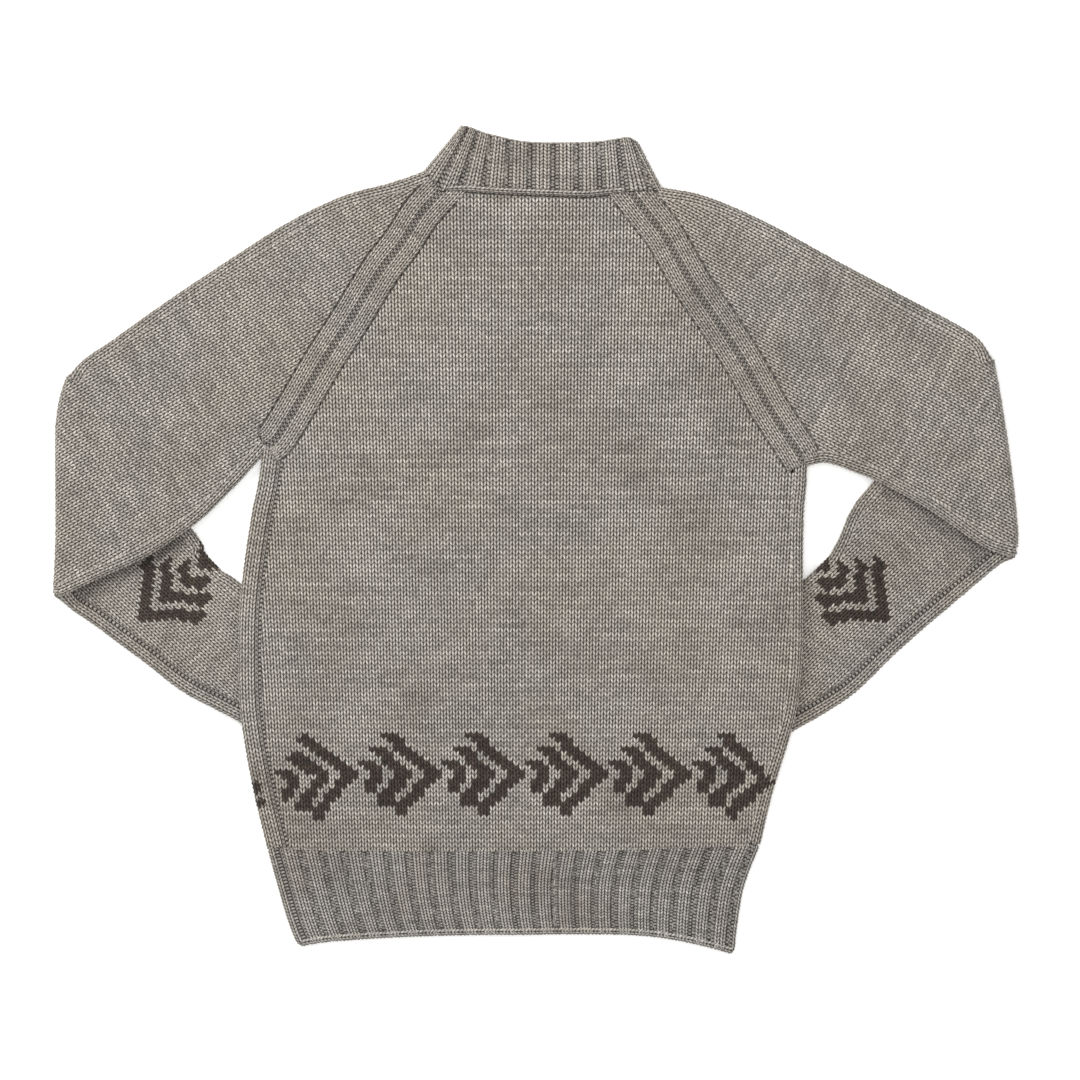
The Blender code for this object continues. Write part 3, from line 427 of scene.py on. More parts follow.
def zip_x(y):
    share = (y - ZIP_BOTTOM[1]) / (ZIP_TOP[1] - ZIP_BOTTOM[1])
    return ZIP_BOTTOM[0] + share * (ZIP_TOP[0] - ZIP_BOTTOM[0])


def zip_edge(side, *heights):
    """Plan points of the zip's edge on one front."""
    return [(zip_x(y) + SIGN[side] * ZIP_EDGE, y) for y in heights]


def ridge(p):
    """Rise of the back over the zip and its slider."""
    x, y = p[..., 0], p[..., 1]
    across = 1 - smooth((np.abs(x - zip_x(y)) - RIDGE_HALF) / RIDGE_RAMP)
    along = 1 - smooth((y - RIDGE_END) / RIDGE_FADE)
    slider_y = ZIP_TOP[1] - SLIDER_AT
    off = (x - zip_x(slider_y)) ** 2 + (y - slider_y) ** 2
    return RIDGE * across * along + SLIDER_BUMP * np.exp(-off / SLIDER_SPREAD**2)


def zip_raise(p):
    off = np.abs(p[..., 0] - zip_x(p[..., 1]))
    return ZIP_RAISE * (1 - smooth((off - ZIP_EDGE) / ZIP_RAISE_RAMP))


def mitre(corner, first, second):
    """Middle of the fold where two edges meet in a notch, and the way to the notch, per fold radius."""
    corner = vec(*corner)
    a, b = unit(vec(*first) - corner), unit(vec(*second) - corner)
    half = math.acos(float(a @ b)) / 2
    out = unit(a + b) / math.sin(half)
    return corner - EDGE * out, out


# Where the folds meet at each underarm and beside the neck, and the collar's folds at its top
UNDERARM, NECK, FOLD_TOP = {}, {}, {}
for side in SIGN:
    UNDERARM[side] = mitre(BODY_SIDE[side][-1], BODY_SIDE[side][-2], SLEEVES[side]["under"][0])
    NECK[side] = mitre(*COLLAR_SIDE[side], SLEEVES[side]["shoulder"][0])
    FOLD_TOP[side] = inset(COLLAR_SIDE[side], -SIGN[side] * EDGE)[1]


def raglan(side, layer):
    top = RAGLAN_TOP_BACK if layer == "back" else RAGLAN_TOP_FRONT
    return Path((tuple(UNDERARM[side][0]),) + RAGLANS[side] + ((SIGN[side] * top[0], top[1]),))


SEAMS = {(side, layer): raglan(side, layer) for side in SIGN for layer in ("back", "front")}
TOP_BACK = Path(COLLAR_TOP)
NECK_SEAM = Path([SEAMS["left", "back"].dense[-1], *COLLAR_SEAM, SEAMS["right", "back"].dense[-1]])
COLLAR_LOW = np.vstack([NECK["left"][0], NECK_SEAM.at(np.linspace(0, 1, 33)), NECK["right"][0]])

# Edges of the collar on the two fronts, from the zip to the sides
TOP_FRONTS, SEAM_FRONTS = {}, {}
for side in SIGN:
    top, low = zip_edge(side, FRONT_TOP_MIDDLE, FRONT_SEAM_MIDDLE)
    TOP_FRONTS[side] = Path([top, *FRONT_TOP[side], FOLD_TOP[side]])
    SEAM_FRONTS[side] = Path([low, *FRONT_SEAM[side], SEAMS[side, "front"].dense[-1]])


def side_fold(side, outside, end):
    """Middle line of a side's fold, inside its outline and up to its end."""
    return Path([*inset(outside[side][:-1], -SIGN[side] * EDGE), end])


BODY_LEFT, BODY_RIGHT = (side_fold(side, BODY_SIDE, SEAMS[side, "back"].dense[0]) for side in SIGN)
WAIST = Path([BODY_LEFT.dense[0], *WELT_SEAM[1:-1], BODY_RIGHT.dense[0]])
WELT_LEFT = side_fold("left", WELT_SIDE, BODY_LEFT.dense[0])
WELT_RIGHT = side_fold("right", WELT_SIDE, BODY_RIGHT.dense[0])
HEM_LINE = Path([WELT_LEFT.dense[0], *HEM[1:-1], WELT_RIGHT.dense[0]])


def drop(p):
    """How far the back and the collar sink where no front lies under them."""
    x, y = p[..., 0], p[..., 1]
    sunk = np.zeros(x.shape)
    for side, path in TOP_FRONTS.items():
        order = np.argsort(path.dense[:, 0])
        edge = np.interp(x, path.dense[order, 0], path.dense[order, 1])
        reach = abs(path.dense[-1, 0])
        across = smooth((reach - np.abs(x)) / DROP_FADE)
        along = smooth((y - np.maximum(edge + DROP_START, NECK_LINE)) / DROP_RAMP)
        here = (x < 0) == (side == "left")
        sunk = np.where(here & (np.abs(x) < reach), (WALL + TUBE_GAP - FLOOR_REST) * across * along, sunk)
    return sunk


def swell(p):
    """The soft troughs and ridges of the laid cloth."""
    rise = np.zeros(p.shape[:-1])
    for x0, y0, x1, y1, half, height in FOLDS:
        away = segment_distance(p, vec(x0, y0), vec(x1, y1))
        rise += height * np.exp(-((away / half) ** 2))
    return rise


def over(p, height=0.0):
    """Points of the skin that lies on top, moved up by a height."""
    return raised(p, TUBE_HEIGHT + lift(p) + ridge(p) - drop(p) + swell(p) + height)


def under(p, height=0.0):
    """Points of the skin underneath, which stays flat."""
    return raised(p, lift(p) + zip_raise(p))


def level_skin(z):
    """A skin that lies level at one height, apart from its stitches."""
    return lambda p, height: raised(p, z + height)


def half_wale(u):
    """How far a column lies from its wale's middle: 0 there and 1 in the gap between wales."""
    return np.abs(u - np.floor(u) - 0.5) * 2


def stitch_height(u, v, purl=0.0):
    """Height of a stitch at a place in it: two slanted legs, or the bump of a purl stitch."""
    half = half_wale(u)
    across = np.sin(math.pi * half)
    along = np.abs(np.sin(math.pi * (v - SLANT * half)))
    middle = 0.3 * (1 - half) ** 2
    knit = np.maximum(across * (0.42 + 0.58 * along), middle)
    arch = v + 0.5 * np.floor(u) + 0.3 * half**2
    bump = 0.15 + 0.65 * np.abs(np.sin(math.pi * arch)) * (1 - 0.5 * half**2)
    return (1 - purl) * knit + purl * bump


def relief(u, v, purl=0.0, base=0.0, uneven=UNEVEN):
    """Height of the cloth's stitches over its skin, each a little uneven."""
    form = STITCH_DEPTH * (stitch_height(u, v, purl) - STITCH_TOP)
    return form + base + RANDOM.normal(0, uneven, np.shape(v))


def grid_faces(rows, columns):
    at = np.arange(rows * columns).reshape(rows, columns)
    return np.stack([at[:-1, :-1], at[:-1, 1:], at[1:, 1:], at[1:, :-1]], -1).reshape(-1, 4)


def grown_faces(run):
    """Faces of a grid of runs along the wales, without those of no length."""
    faces = grid_faces(*run.shape)
    a, b, c, d = run.ravel()[faces].T
    return faces[np.maximum(d - a, c - b) > 1e-6]


class Patch:
    """Part of a piece's skin: points, faces, stitch counts and flat places, purl, colour, and painted
    shade and highlight.
    """

    def __init__(self, points, faces, knit, flat, purl, brown, facing, painted_shading=0.0):
        """Keeps the points that faces use, and turns the faces to the side that the skin faces."""
        used = np.unique(faces)
        number = np.zeros(len(points), int)
        number[used] = np.arange(len(used))
        self.faces = number[faces]
        self.points, self.knit, self.flat = points[used], knit[used], flat[used]
        self.purl, self.painted_shading = (np.broadcast_to(v, len(points))[used] for v in (purl, painted_shading))
        self.brown = np.broadcast_to(brown, len(faces)).astype(float)
        a, b, c, d = (self.points[self.faces[:, k]] for k in range(4))
        ways = np.broadcast_to(facing, points.shape)[faces[:, 0]]
        if (np.cross(c - a, d - b) * ways).sum() < 0:
            self.faces = self.faces[:, ::-1]


class Cloth:
    """Where stitches lie in plan: straight wales from an origin, widening a little, on skewed courses."""

    def __init__(self, origin, degrees, wale=WALE, course=COURSE, spread=0.0, skew=0.0):
        angle, lean = math.radians(degrees), math.radians(degrees + skew)
        self.origin = vec(*origin)
        self.up = vec(math.cos(angle), math.sin(angle))
        self.across = vec(math.sin(lean), -math.cos(lean))
        self.inverse = np.linalg.inv(np.stack([self.across, self.up], 1))
        self.wale, self.course, self.spread = wale, course, spread

    def plan(self, u, v):
        run = v * self.course
        off = u * self.wale * (1 + self.spread * run)
        return self.origin + off[..., None] * self.across + run[..., None] * self.up

    def knit(self, p):
        off, run = self.inverse @ (p - self.origin).T
        return np.stack([off / (self.wale * (1 + self.spread * run)), run / self.course], -1)


def field(cloth, loop, skin, facing=UP, columns=4, rows=2, chart=None):
    """Stitches of a cloth inside a plan outline, with the outermost points moved onto it."""
    fine = columns > 1
    reach = cloth.knit(loop)
    low, high = np.floor(reach.min(0)) - 1, np.ceil(reach.max(0)) + 1
    i, j = np.meshgrid(
        np.arange(low[0] * columns, high[0] * columns + 1),
        np.arange((low[1] - 1) * rows, high[1] * rows + 1),
    )
    faces = grid_faces(*i.shape)
    i, j = i.ravel(), j.ravel()
    u = i / columns
    v = j / rows + (SLANT * half_wale(u) if fine else 0.0)
    p = cloth.plan(u, v)
    held = inside(p, loop)
    faces = faces[held[faces].any(1)]
    outer = np.unique(faces)
    outer = outer[~held[outer]]
    ring = np.vstack([loop, loop[:1]])
    p[outer] = nearest(p[outer], ring)[0]
    knit = cloth.knit(p)
    corner = faces[:, 0]
    stitch = np.floor(i[corner] / columns) + 0.5, np.floor(j[corner] / rows) + 0.5
    brown = chart(*stitch) if chart else False
    height = relief(knit[:, 0], knit[:, 1]) if fine else 0.0
    return Patch(skin(p, height), faces, knit, p.copy(), 0.0, brown, facing)


# Kinds of wale: purl share, and how dark the painted shade on it is, with a painted highlight below 0
KINDS = {
    "knit": (0.0, 0.0), "band": (0.0, -0.12), "roll": (0.0, -0.28),
    "purl": (1.0, 0.0), "moss": (0.85, -0.35), "soft": (0.55, -0.1), "groove": (0.0, 1.0),
}


def wales(kinds, start=0.0):
    """Columns from each wale's kind, width and height: offset, wale count, height, purl, and painted shade
    (painted highlight below 0).
    """
    table = []
    offset = start
    for number, (kind, width, height) in enumerate(kinds):
        for quarter in range(4):
            table.append((offset + width * quarter / 4, number + quarter / 4, height, *KINDS[kind]))
        offset += width
    table.append((offset, len(kinds), kinds[-1][2], *table[-1][3:]))
    return np.array(table)


def strip(place, length, columns, course=COURSE, brown=None):
    """Stitches in wales that follow a line; place gives points and ways out for runs and offsets."""
    _, u, _, purl, _ = columns.T
    rows = np.arange(-3, math.ceil(2 * length / course) + 2)
    run = (rows[:, None] / 2 + SLANT * half_wale(u) * (1 - purl)) * course
    run = np.clip(run, 0, length)
    faces = grown_faces(run)
    offset, u, base, purl, painted_shading = (np.broadcast_to(v, run.shape) for v in columns.T)
    points, ways = place(run, offset)
    points = points + ways * relief(u, run / course, purl, base)[..., None]
    points = points.reshape(-1, 3)
    knit = np.stack([u, run / course], -1).reshape(-1, 2)
    flat = np.stack([offset, run], -1).reshape(-1, 2)
    # Painted shade in a groove, notched along the courses; a painted highlight stays even
    notched_shading = np.where(painted_shading > 0, painted_shading * (0.6 + 0.4 * np.cos(math.pi * run / course)), painted_shading)
    dark = brown(points[faces[:, 0], :2]) if brown else False
    return Patch(points, faces, knit, flat, purl.ravel(), dark, ways.reshape(-1, 3), notched_shading.ravel())


def longer(path, start, end):
    """A path with straight pieces added before its start and after its end."""
    first = path.dense[0] - start * unit(path.dense[1] - path.dense[0])
    last = path.dense[-1] + end * unit(path.dense[-1] - path.dense[-2])
    return Path([first, *path.dense[:: CURVE_STEPS // 2][bool(start) :], last])


def ribbon(path, side):
    """Places on top beside a plan line, on its right (1) or left (-1) hand, sinking under the collar."""

    def place(run, offset):
        share = run / path.length
        p = path.at(share) + side * offset[..., None] * path.right(share)
        past = p[..., 1] - np.interp(p[..., 0], COLLAR_LOW[:, 0], COLLAR_LOW[:, 1])
        sink = TUCK_DEPTH * smooth(past / TUCK_RAMP + 0.5)
        return over(p, -sink), np.broadcast_to(UP, p.shape[:-1] + (3,))

    return place


def beside(path, side, kinds):
    """A strip of wales beside a plan line on the top skin."""
    return strip(ribbon(path, side), path.length, wales(kinds))


class Rail:
    """A fold's middle line in space, with the ways out and up along it."""

    def __init__(self, middle, out, up=UP, radius=EDGE, bulge=1.0):
        self.middle, self.out, self.up = middle, out, np.broadcast_to(up, middle.shape)
        self.radius = radius
        self.run = run_of(middle)
        self.length = self.run[-1]
        self.bulge = np.broadcast_to(bulge, self.run.shape)

    def rounded(self, start, end):
        """Lets the fold's bulge shrink to nothing in rounded corners of given lengths at its two ends."""
        near_start = np.clip(1 - self.run / max(start, 1e-6), 0, 1)
        near_end = np.clip(1 - (self.length - self.run) / max(end, 1e-6), 0, 1)
        self.bulge = np.sqrt((1 - near_start**2) * (1 - near_end**2))
        return self

    def place(self, run, offset):
        """Points round the fold: over it at offsets below 0, and under it past its half turn."""
        middle, out, up = (read(run, self.run, v) for v in (self.middle, self.out, self.up))
        turn = np.clip(offset / self.radius, 0, math.pi)
        back = np.where(offset < 0, offset, np.minimum(math.pi * self.radius - offset, 0.0))
        way = np.cos(turn)[..., None] * up + np.sin(turn)[..., None] * out
        reach = self.radius * np.interp(run, self.run, self.bulge) * np.sin(turn) + back
        points = middle + self.radius * np.cos(turn)[..., None] * up + reach[..., None] * out
        lying = np.clip(up[..., 2], 0, 1)
        points[..., 2] += (lift(points[..., :2]) - lift(middle[..., :2])) * lying
        points[..., 2] += swell(points[..., :2]) * np.clip(way[..., 2], 0, 1) * lying
        return points, unit(way)

    def strip(self, columns, course=COURSE, brown=None):
        return strip(self.place, self.length, columns, course, brown)


def flat_rail(path, side, shares=None):
    """Rail of a fold that lies flat, with its way out on the path's right (1) or left (-1) hand."""
    shares = path.shares if shares is None else shares
    p = path.at(shares)
    return Rail(raised(p, WALL + HALF_GAP + lift(p)), raised(side * path.right(shares), 0.0))


HALF_TURN = math.pi * EDGE


def rim(path, side, skin, radius, columns, course=1.3 * COURSE):
    """Stitches rolled round the rim of one wall along a plan line, on its right (1) or left (-1) hand."""
    out = side * path.right(path.shares)
    rail = Rail(skin(path.dense - radius * out), raised(out, 0.0), radius=radius)
    return rail.strip(columns, course)


def rolled_edge(path, side):
    """The bound-off edge on top of a welt: a band of steep stitches rolled over."""
    band = [("roll", 6.6, 0.35), ("knit", 4.4, 0.0)]
    return rim(path, side, lambda p: over(p, 0.6 - ROLL), ROLL, wales(band, -4.8), 0.8 * COURSE)


def lower_edge(path, side):
    """The bound-off edge of a wall underneath, flat where it lies on the surface."""
    half = WALL / 2
    chain = [("knit", 4.4, 0.0), ("roll", 5.0, 0.2), ("knit", 3.0, 0.0)]
    return rim(path, side, lambda p: under(p) + vec(0, 0, half), half, wales(chain, -3.0))


def hem_front(side):
    """The hem's edge on one front, from its side to the zip."""
    zip_side = zip_edge(side, HEM_Y)[0][0]
    cut = np.interp(zip_side, HEM_LINE.dense[:, 0], HEM_LINE.shares)
    start, end = (0.0, cut) if side == "left" else (cut, 1.0)
    return Path(HEM_LINE.at(np.linspace(start, end, 24)))


def inner_skin(loop, skin, height=-2.3):
    """The inner side of a wall, plain and coarse."""
    cloth = Cloth(loop[0], 90.0, 2 * WALE, 2 * COURSE)
    return field(cloth, loop, lambda p, _: skin(p, height), -UP, 1, 1)


def plain_under(loop, origin=(-12.0, WAIST_Y), wale=WALE, course=COURSE):
    """Plain stitches on the side underneath, inside an outline."""
    return field(Cloth(origin, 90.0, wale, course), loop, under, -UP, 1, 1)


def knits(count, width, height=0.0):
    return [("knit", width, height)] * count


class Sleeve:
    """Edges of a sleeve's upper arm and of its forearm folded underneath."""

    def __init__(self, side):
        table = SLEEVES[side]
        turn = -SIGN[side]
        self.turn = turn
        self.crease = Path(table["crease"])
        under_arm = inset(table["under"][:-1], turn * EDGE)
        self.under = Path([UNDERARM[side][0], *under_arm, self.crease.dense[0]])
        shoulder = inset(table["shoulder"][:-1], -turn * EDGE)
        self.shoulder = Path([NECK[side][0], *shoulder, self.crease.dense[-1]])
        self.low = Path([self.crease.dense[0], *inset(table["forearm low"][1:], -turn * EDGE)])
        self.high = Path([self.crease.dense[-1], *inset(table["forearm high"][1:], turn * EDGE)])
        self.cuff_end = Path(table["cuff"])

    def edge_rail(self, arm, forearm, end, arm_side, forearm_side):
        """Rail of one edge from the cuff up to the neck, round the crease on the way."""
        first, last = flat_rail(forearm, forearm_side), flat_rail(arm, arm_side)
        first.up = -first.up
        first.middle[:, 2] = WALL + HALF_GAP
        corner = self.crease.at(np.array([float(end)]))
        radius = float(lift(corner)[0]) / 2
        out = np.append(-self.turn * self.crease.right(np.array([float(end)]))[0], 0.0)
        near_first = np.clip(1 - first.run / CORNER_REACH, 0, 1) * (1 - end)
        near_last = np.clip(1 - (last.length - last.run) / CORNER_REACH, 0, 1) * end
        extra = CORNER_BULGE - 1
        whole = (first.middle, first.out, first.up, 1 + extra * near_first**2)
        parts = [[values[::-1] for values in whole]]
        for angle in np.linspace(math.pi, 0, 9)[1:-1]:
            way = math.sin(angle) * out + math.cos(angle) * UP
            centre = np.append(corner[0], WALL + HALF_GAP + radius) + radius * way
            share = smooth(1 - angle / math.pi)
            turned = unit((1 - share) * first.out[:1] + share * last.out[-1:])
            corner_share = share if end else 1 - share
            bulge = CREASE_BULGE + (CORNER_BULGE - CREASE_BULGE) * corner_share**3
            parts.append((centre[None], turned, way[None], [bulge]))
        whole = (last.middle, last.out, last.up, 1 + extra * near_last**2)
        parts.append([values[::-1] for values in whole])
        middle, out, up, bulge = (np.concatenate(part) for part in zip(*parts))
        return Rail(middle, out, up, EDGE, bulge)

    def wrapped(self, p, height=0.0):
        """Points of the upper arm's skin, which goes on round the crease and under the forearm."""
        line = self.crease.dense
        foot, run = nearest(p, line)
        out = -self.turn * self.crease.right(run / self.crease.length)
        away = ((p - foot) * out).sum(1)
        radius = (TUBE_HEIGHT + lift(foot)) / 2
        angle = np.clip(away / radius, 0, math.pi)
        rest = np.minimum(math.pi * radius - away, 0.0)
        bent = p + ((radius + height) * np.sin(angle) + rest - away)[:, None] * out
        z = radius + (radius + height) * np.cos(angle)
        return np.where((away > 0)[:, None], raised(bent, z), over(p, height))


def chevrons(u, v, arms):
    """Whether a stitch belongs to the nested chevrons of an arrow whose tip is at the origin."""
    found = np.zeros(np.shape(u), bool)
    (up_slope, up_thick), (down_slope, down_thick) = arms
    thick = np.where(v >= 0, up_thick, down_thick)
    thick = np.where(np.abs(v) < CHEVRON_TIP_ROWS, CHEVRON_TIP, thick)
    for number, (above, below) in enumerate(CHEVRON_ROWS):
        reach = np.where(v >= 0, v * up_slope, np.minimum(-v, below - CHEVRON_END) * down_slope)
        edge = -number * CHEVRON_STEP - reach
        back = edge - thick + number * CHEVRON_TAPER
        found |= (u <= edge) & (u > back) & (v <= above) & (v >= -below)
    return found


def arrows(tip, arms, way, first, last):
    """Chart of arrows in a row across the wales, from the stitch of the one with its tip given."""

    def chart(u, v):
        found = np.zeros(np.shape(u), bool)
        for number in range(first, last + 1):
            found |= chevrons(way * (u - tip[0]) - number * ARROW_PITCH, v - tip[1], arms)
        return found

    return chart


# Wales beside the seams, from each seam outwards: kind, width and height in millimetres; the grooves get
# painted shade, the bands and moss a painted highlight
RAGLAN_BAND = (
    ("moss", 1.5, 0.0), ("moss", 1.4, 0.0), ("band", 4.6, 0.7), ("band", 4.7, 1.0), ("band", 4.7, 0.8),
    ("groove", 1.8, -1.6), ("groove", 1.4, -1.2),
)
SIDE_SEAM = (("soft", 3.2, -1.0), ("purl", 3.2, -0.6))
UNDER_SEAM = (("knit", 5.2, 0.5), ("knit", 5.2, 0.4), ("purl", 3.2, -1.1), ("soft", 3.2, -0.7))


def body_patches():
    """The back: stitches up to its seams, a purl line at the left, raglan bands and the right fold."""
    cloth = Cloth((BODY_ARROW[0], WAIST_Y), 90.0, spread=WALE_SPREAD)
    tip = np.round(cloth.knit(vec(*BODY_ARROW)[None])[0])
    level = arrows(tip, BODY_ARMS, 1, -3, 3)

    def chart(u, v):
        x = BODY_ARROW[0] + (u - tip[0]) * WALE
        sag = sum(np.clip(x * way / ARROW_SAG_RUN - start, 0, None) ** 2 for way, start in ARROW_SAG)
        return level(u, v + sag)

    def brown(p):
        return chart(*(np.floor(cloth.knit(p)).T + 0.5))

    left, right = SEAMS["left", "back"], SEAMS["right", "back"]
    loop = outline(
        moved(WAIST, 1.5)[::-1],
        moved(BODY_LEFT, LEFT_WRAP + SIDE_INSET),
        moved(left, BAND_INSET),
        moved(NECK_SEAM, NECK_INSET),
        moved(right, -BAND_INSET)[::-1],
        moved(BODY_RIGHT, -BODY_INSET)[::-1],
    )
    whole = outline(
        WAIST.dense[::-1], moved(BODY_LEFT, LEFT_WRAP), left.dense, NECK_SEAM.dense, right.dense[::-1],
        BODY_RIGHT.dense[::-1],
    )
    return [
        field(cloth, loop, over, chart=chart),
        beside(longer(Path(moved(BODY_LEFT, LEFT_WRAP)[::6]), 4.0, 0.0), 1, SIDE_SEAM),
        flat_rail(BODY_RIGHT, 1).strip(wales(knits(5, 5.3), -8.5), brown=brown),
        beside(longer(left, 0.0, TUCK), 1, RAGLAN_BAND),
        beside(longer(right, 0.0, TUCK), -1, RAGLAN_BAND),
        inner_skin(whole, over),
    ]


def left_front_patches():
    """The left front: its edge wraps round the left fold, and the rest lies underneath."""

    def brown(p):
        found = np.zeros(len(p), bool)
        for low, high, reach in EDGE_PATCHES:
            found |= (p[:, 1] > low) & (p[:, 1] < high) & (p[:, 0] < reach)
        return found

    rail = flat_rail(longer(BODY_LEFT, 1.4, 0.0), -1)
    edge = wales(knits(5, 5.5, 0.35), -LEFT_WRAP)
    loop = outline(
        BODY_LEFT.dense, SEAMS["left", "front"].dense, SEAM_FRONTS["left"].dense[::-1],
        zip_edge("left", FRONT_SEAM_MIDDLE, WAIST_Y), WAIST.dense[::-1],
    )
    return [rail.strip(edge, brown=brown), plain_under(loop)]


def right_front_patches():
    """The right front, all of it underneath."""
    loop = outline(
        moved(BODY_RIGHT, -RIGHT_WRAP)[::-1], WAIST.dense[::-1],
        zip_edge("right", WAIST_Y, FRONT_SEAM_MIDDLE),
        SEAM_FRONTS["right"].dense, SEAMS["right", "front"].dense[::-1],
    )
    return [plain_under(loop)]


# Ribs across the welt and the collar, and where the collar's ribs end at its top: x in millimetres
WELT_RIBS = 22
NECK_RIBS = 10
COLLAR_RIBS_TOP = (-59.0, -50.0, -37.0, -20.0, 0.5, 21.5, 42.5, 62.0, 78.0)
RIB_WIDTH = 20.0

# One repeat of the ribs, two knit wales and two purl ones: where each starts in it, purl share, height
RIB_WALES = ((0.0, 0.0, 0.7), (0.32, 0.0, 0.7), (0.64, 1.0, -1.5), (0.82, 1.0, -1.5), (1.0, 0.0, 0.7))

# How deep the gap between two wales lies, and the last wale's edge, in millimetres
RIB_EDGE = -0.35
RIB_END = -0.3


def rib_columns(ribs):
    """Columns of ribs: place in repeats, wale count, height and purl share."""
    table = []
    for rib in range(ribs):
        for number, (start, purl, height) in enumerate(RIB_WALES[:-1]):
            end = RIB_WALES[number + 1][0]
            for quarter in range(4):
                at = rib + start + (end - start) * quarter / 4
                edge = RIB_EDGE if quarter == 0 else 0.0
                table.append((at, 4 * rib + number + quarter / 4, height + edge, purl))
    table.append((ribs, 4 * ribs, RIB_END, 1.0))
    return np.array(table)


def rib_sheet(surface, ribs, height_mm, lip=np.zeros_like):
    """Ribs on a surface given by repeats across and share up, with a lip at the bound-off end."""
    _, u, _, purl = rib_columns(ribs).T
    courses = height_mm / RIB_COURSE
    rows = np.arange(-3, math.ceil(2 * courses) + 2)
    v = np.clip(rows[:, None] / 2 + SLANT * half_wale(u) * (1 - purl), 0, courses)
    faces = grown_faces(v)
    at, u, base, purl = (np.broadcast_to(values, v.shape) for values in rib_columns(ribs).T)
    height = relief(u, v, purl, base, UNEVEN * 0.7) + lip(v / courses)
    p = surface(at, v / courses)
    knit = np.stack([u, v], -1).reshape(-1, 2)
    flat = np.stack([at * RIB_WIDTH, v * RIB_COURSE], -1).reshape(-1, 2)
    return Patch(over(p, height).reshape(-1, 3), faces, knit, flat, purl.ravel(), False, UP)


def between(bottom, top, share):
    """Points at a share of the way from one set of points to another."""
    return (1 - share)[..., None] * bottom + share[..., None] * top


def welt_surface(u, v):
    """Plan surface of the welts, from the hem up to the body."""
    left, right = WELT_LEFT.at(v), WELT_RIGHT.at(v)
    across = between(HEM_LINE.at(u), WAIST.at(u), v)
    low = between(HEM_LINE.at(0.0 * u), HEM_LINE.at(0.0 * u + 1), u)
    high = between(WAIST.at(0.0 * u), WAIST.at(0.0 * u + 1), u)
    return across + between(left, right, u) - between(low, high, v)


def back_welt_patches():
    """The back welt: its ribs, the fold at its right, the hem's rolled edge and its inner side."""
    start = LEFT_WRAP / WAIST.length

    def surface(repeats, share):
        return welt_surface(start + (1 - start) * np.clip(repeats / WELT_RIBS, 0, 1), share)

    rail = flat_rail(WELT_RIGHT, 1).rounded(CORNER, 0.0)
    edge = wales([("knit", 4.6, 0.4), *[("purl", 4.4, -1.0)] * 2, ("knit", 4.6, 0.4)], -0.5)
    whole = outline(HEM_LINE.dense, WELT_RIGHT.dense, WAIST.dense[::-1], WELT_LEFT.dense[::-1])
    return [
        rib_sheet(surface, WELT_RIBS, WELT_LEFT.length),
        rail.strip(edge, RIB_COURSE),
        rolled_edge(Path(moved(HEM_LINE, HEM_PROUD)[::6]), 1),
        inner_skin(whole, over),
    ]


def left_front_welt_patches():
    """The left front's welt: round the left fold, underneath and along the hem."""
    rail = flat_rail(WELT_LEFT, -1).rounded(CORNER, 0.0)
    edge = wales([("soft", 4.2, -0.9), ("purl", 4.2, -0.9), *knits(3, 5.2, 0.4)], -LEFT_WRAP)
    loop = outline(
        WELT_LEFT.dense, WAIST.dense, zip_edge("left", WAIST_Y, HEM_Y), HEM_LINE.dense[::-1]
    )
    return [
        rail.strip(edge, RIB_COURSE),
        plain_under(loop, wale=RIB_WALE, course=RIB_COURSE),
        lower_edge(hem_front("left"), 1),
    ]


def right_front_welt_patches():
    """The right front's welt, underneath and along the hem."""
    loop = outline(
        moved(WELT_RIGHT, -RIGHT_WRAP)[::-1], HEM_LINE.dense[::-1],
        zip_edge("right", HEM_Y, WAIST_Y), WAIST.dense,
    )
    return [plain_under(loop, wale=RIB_WALE, course=RIB_COURSE), lower_edge(hem_front("right"), 1)]


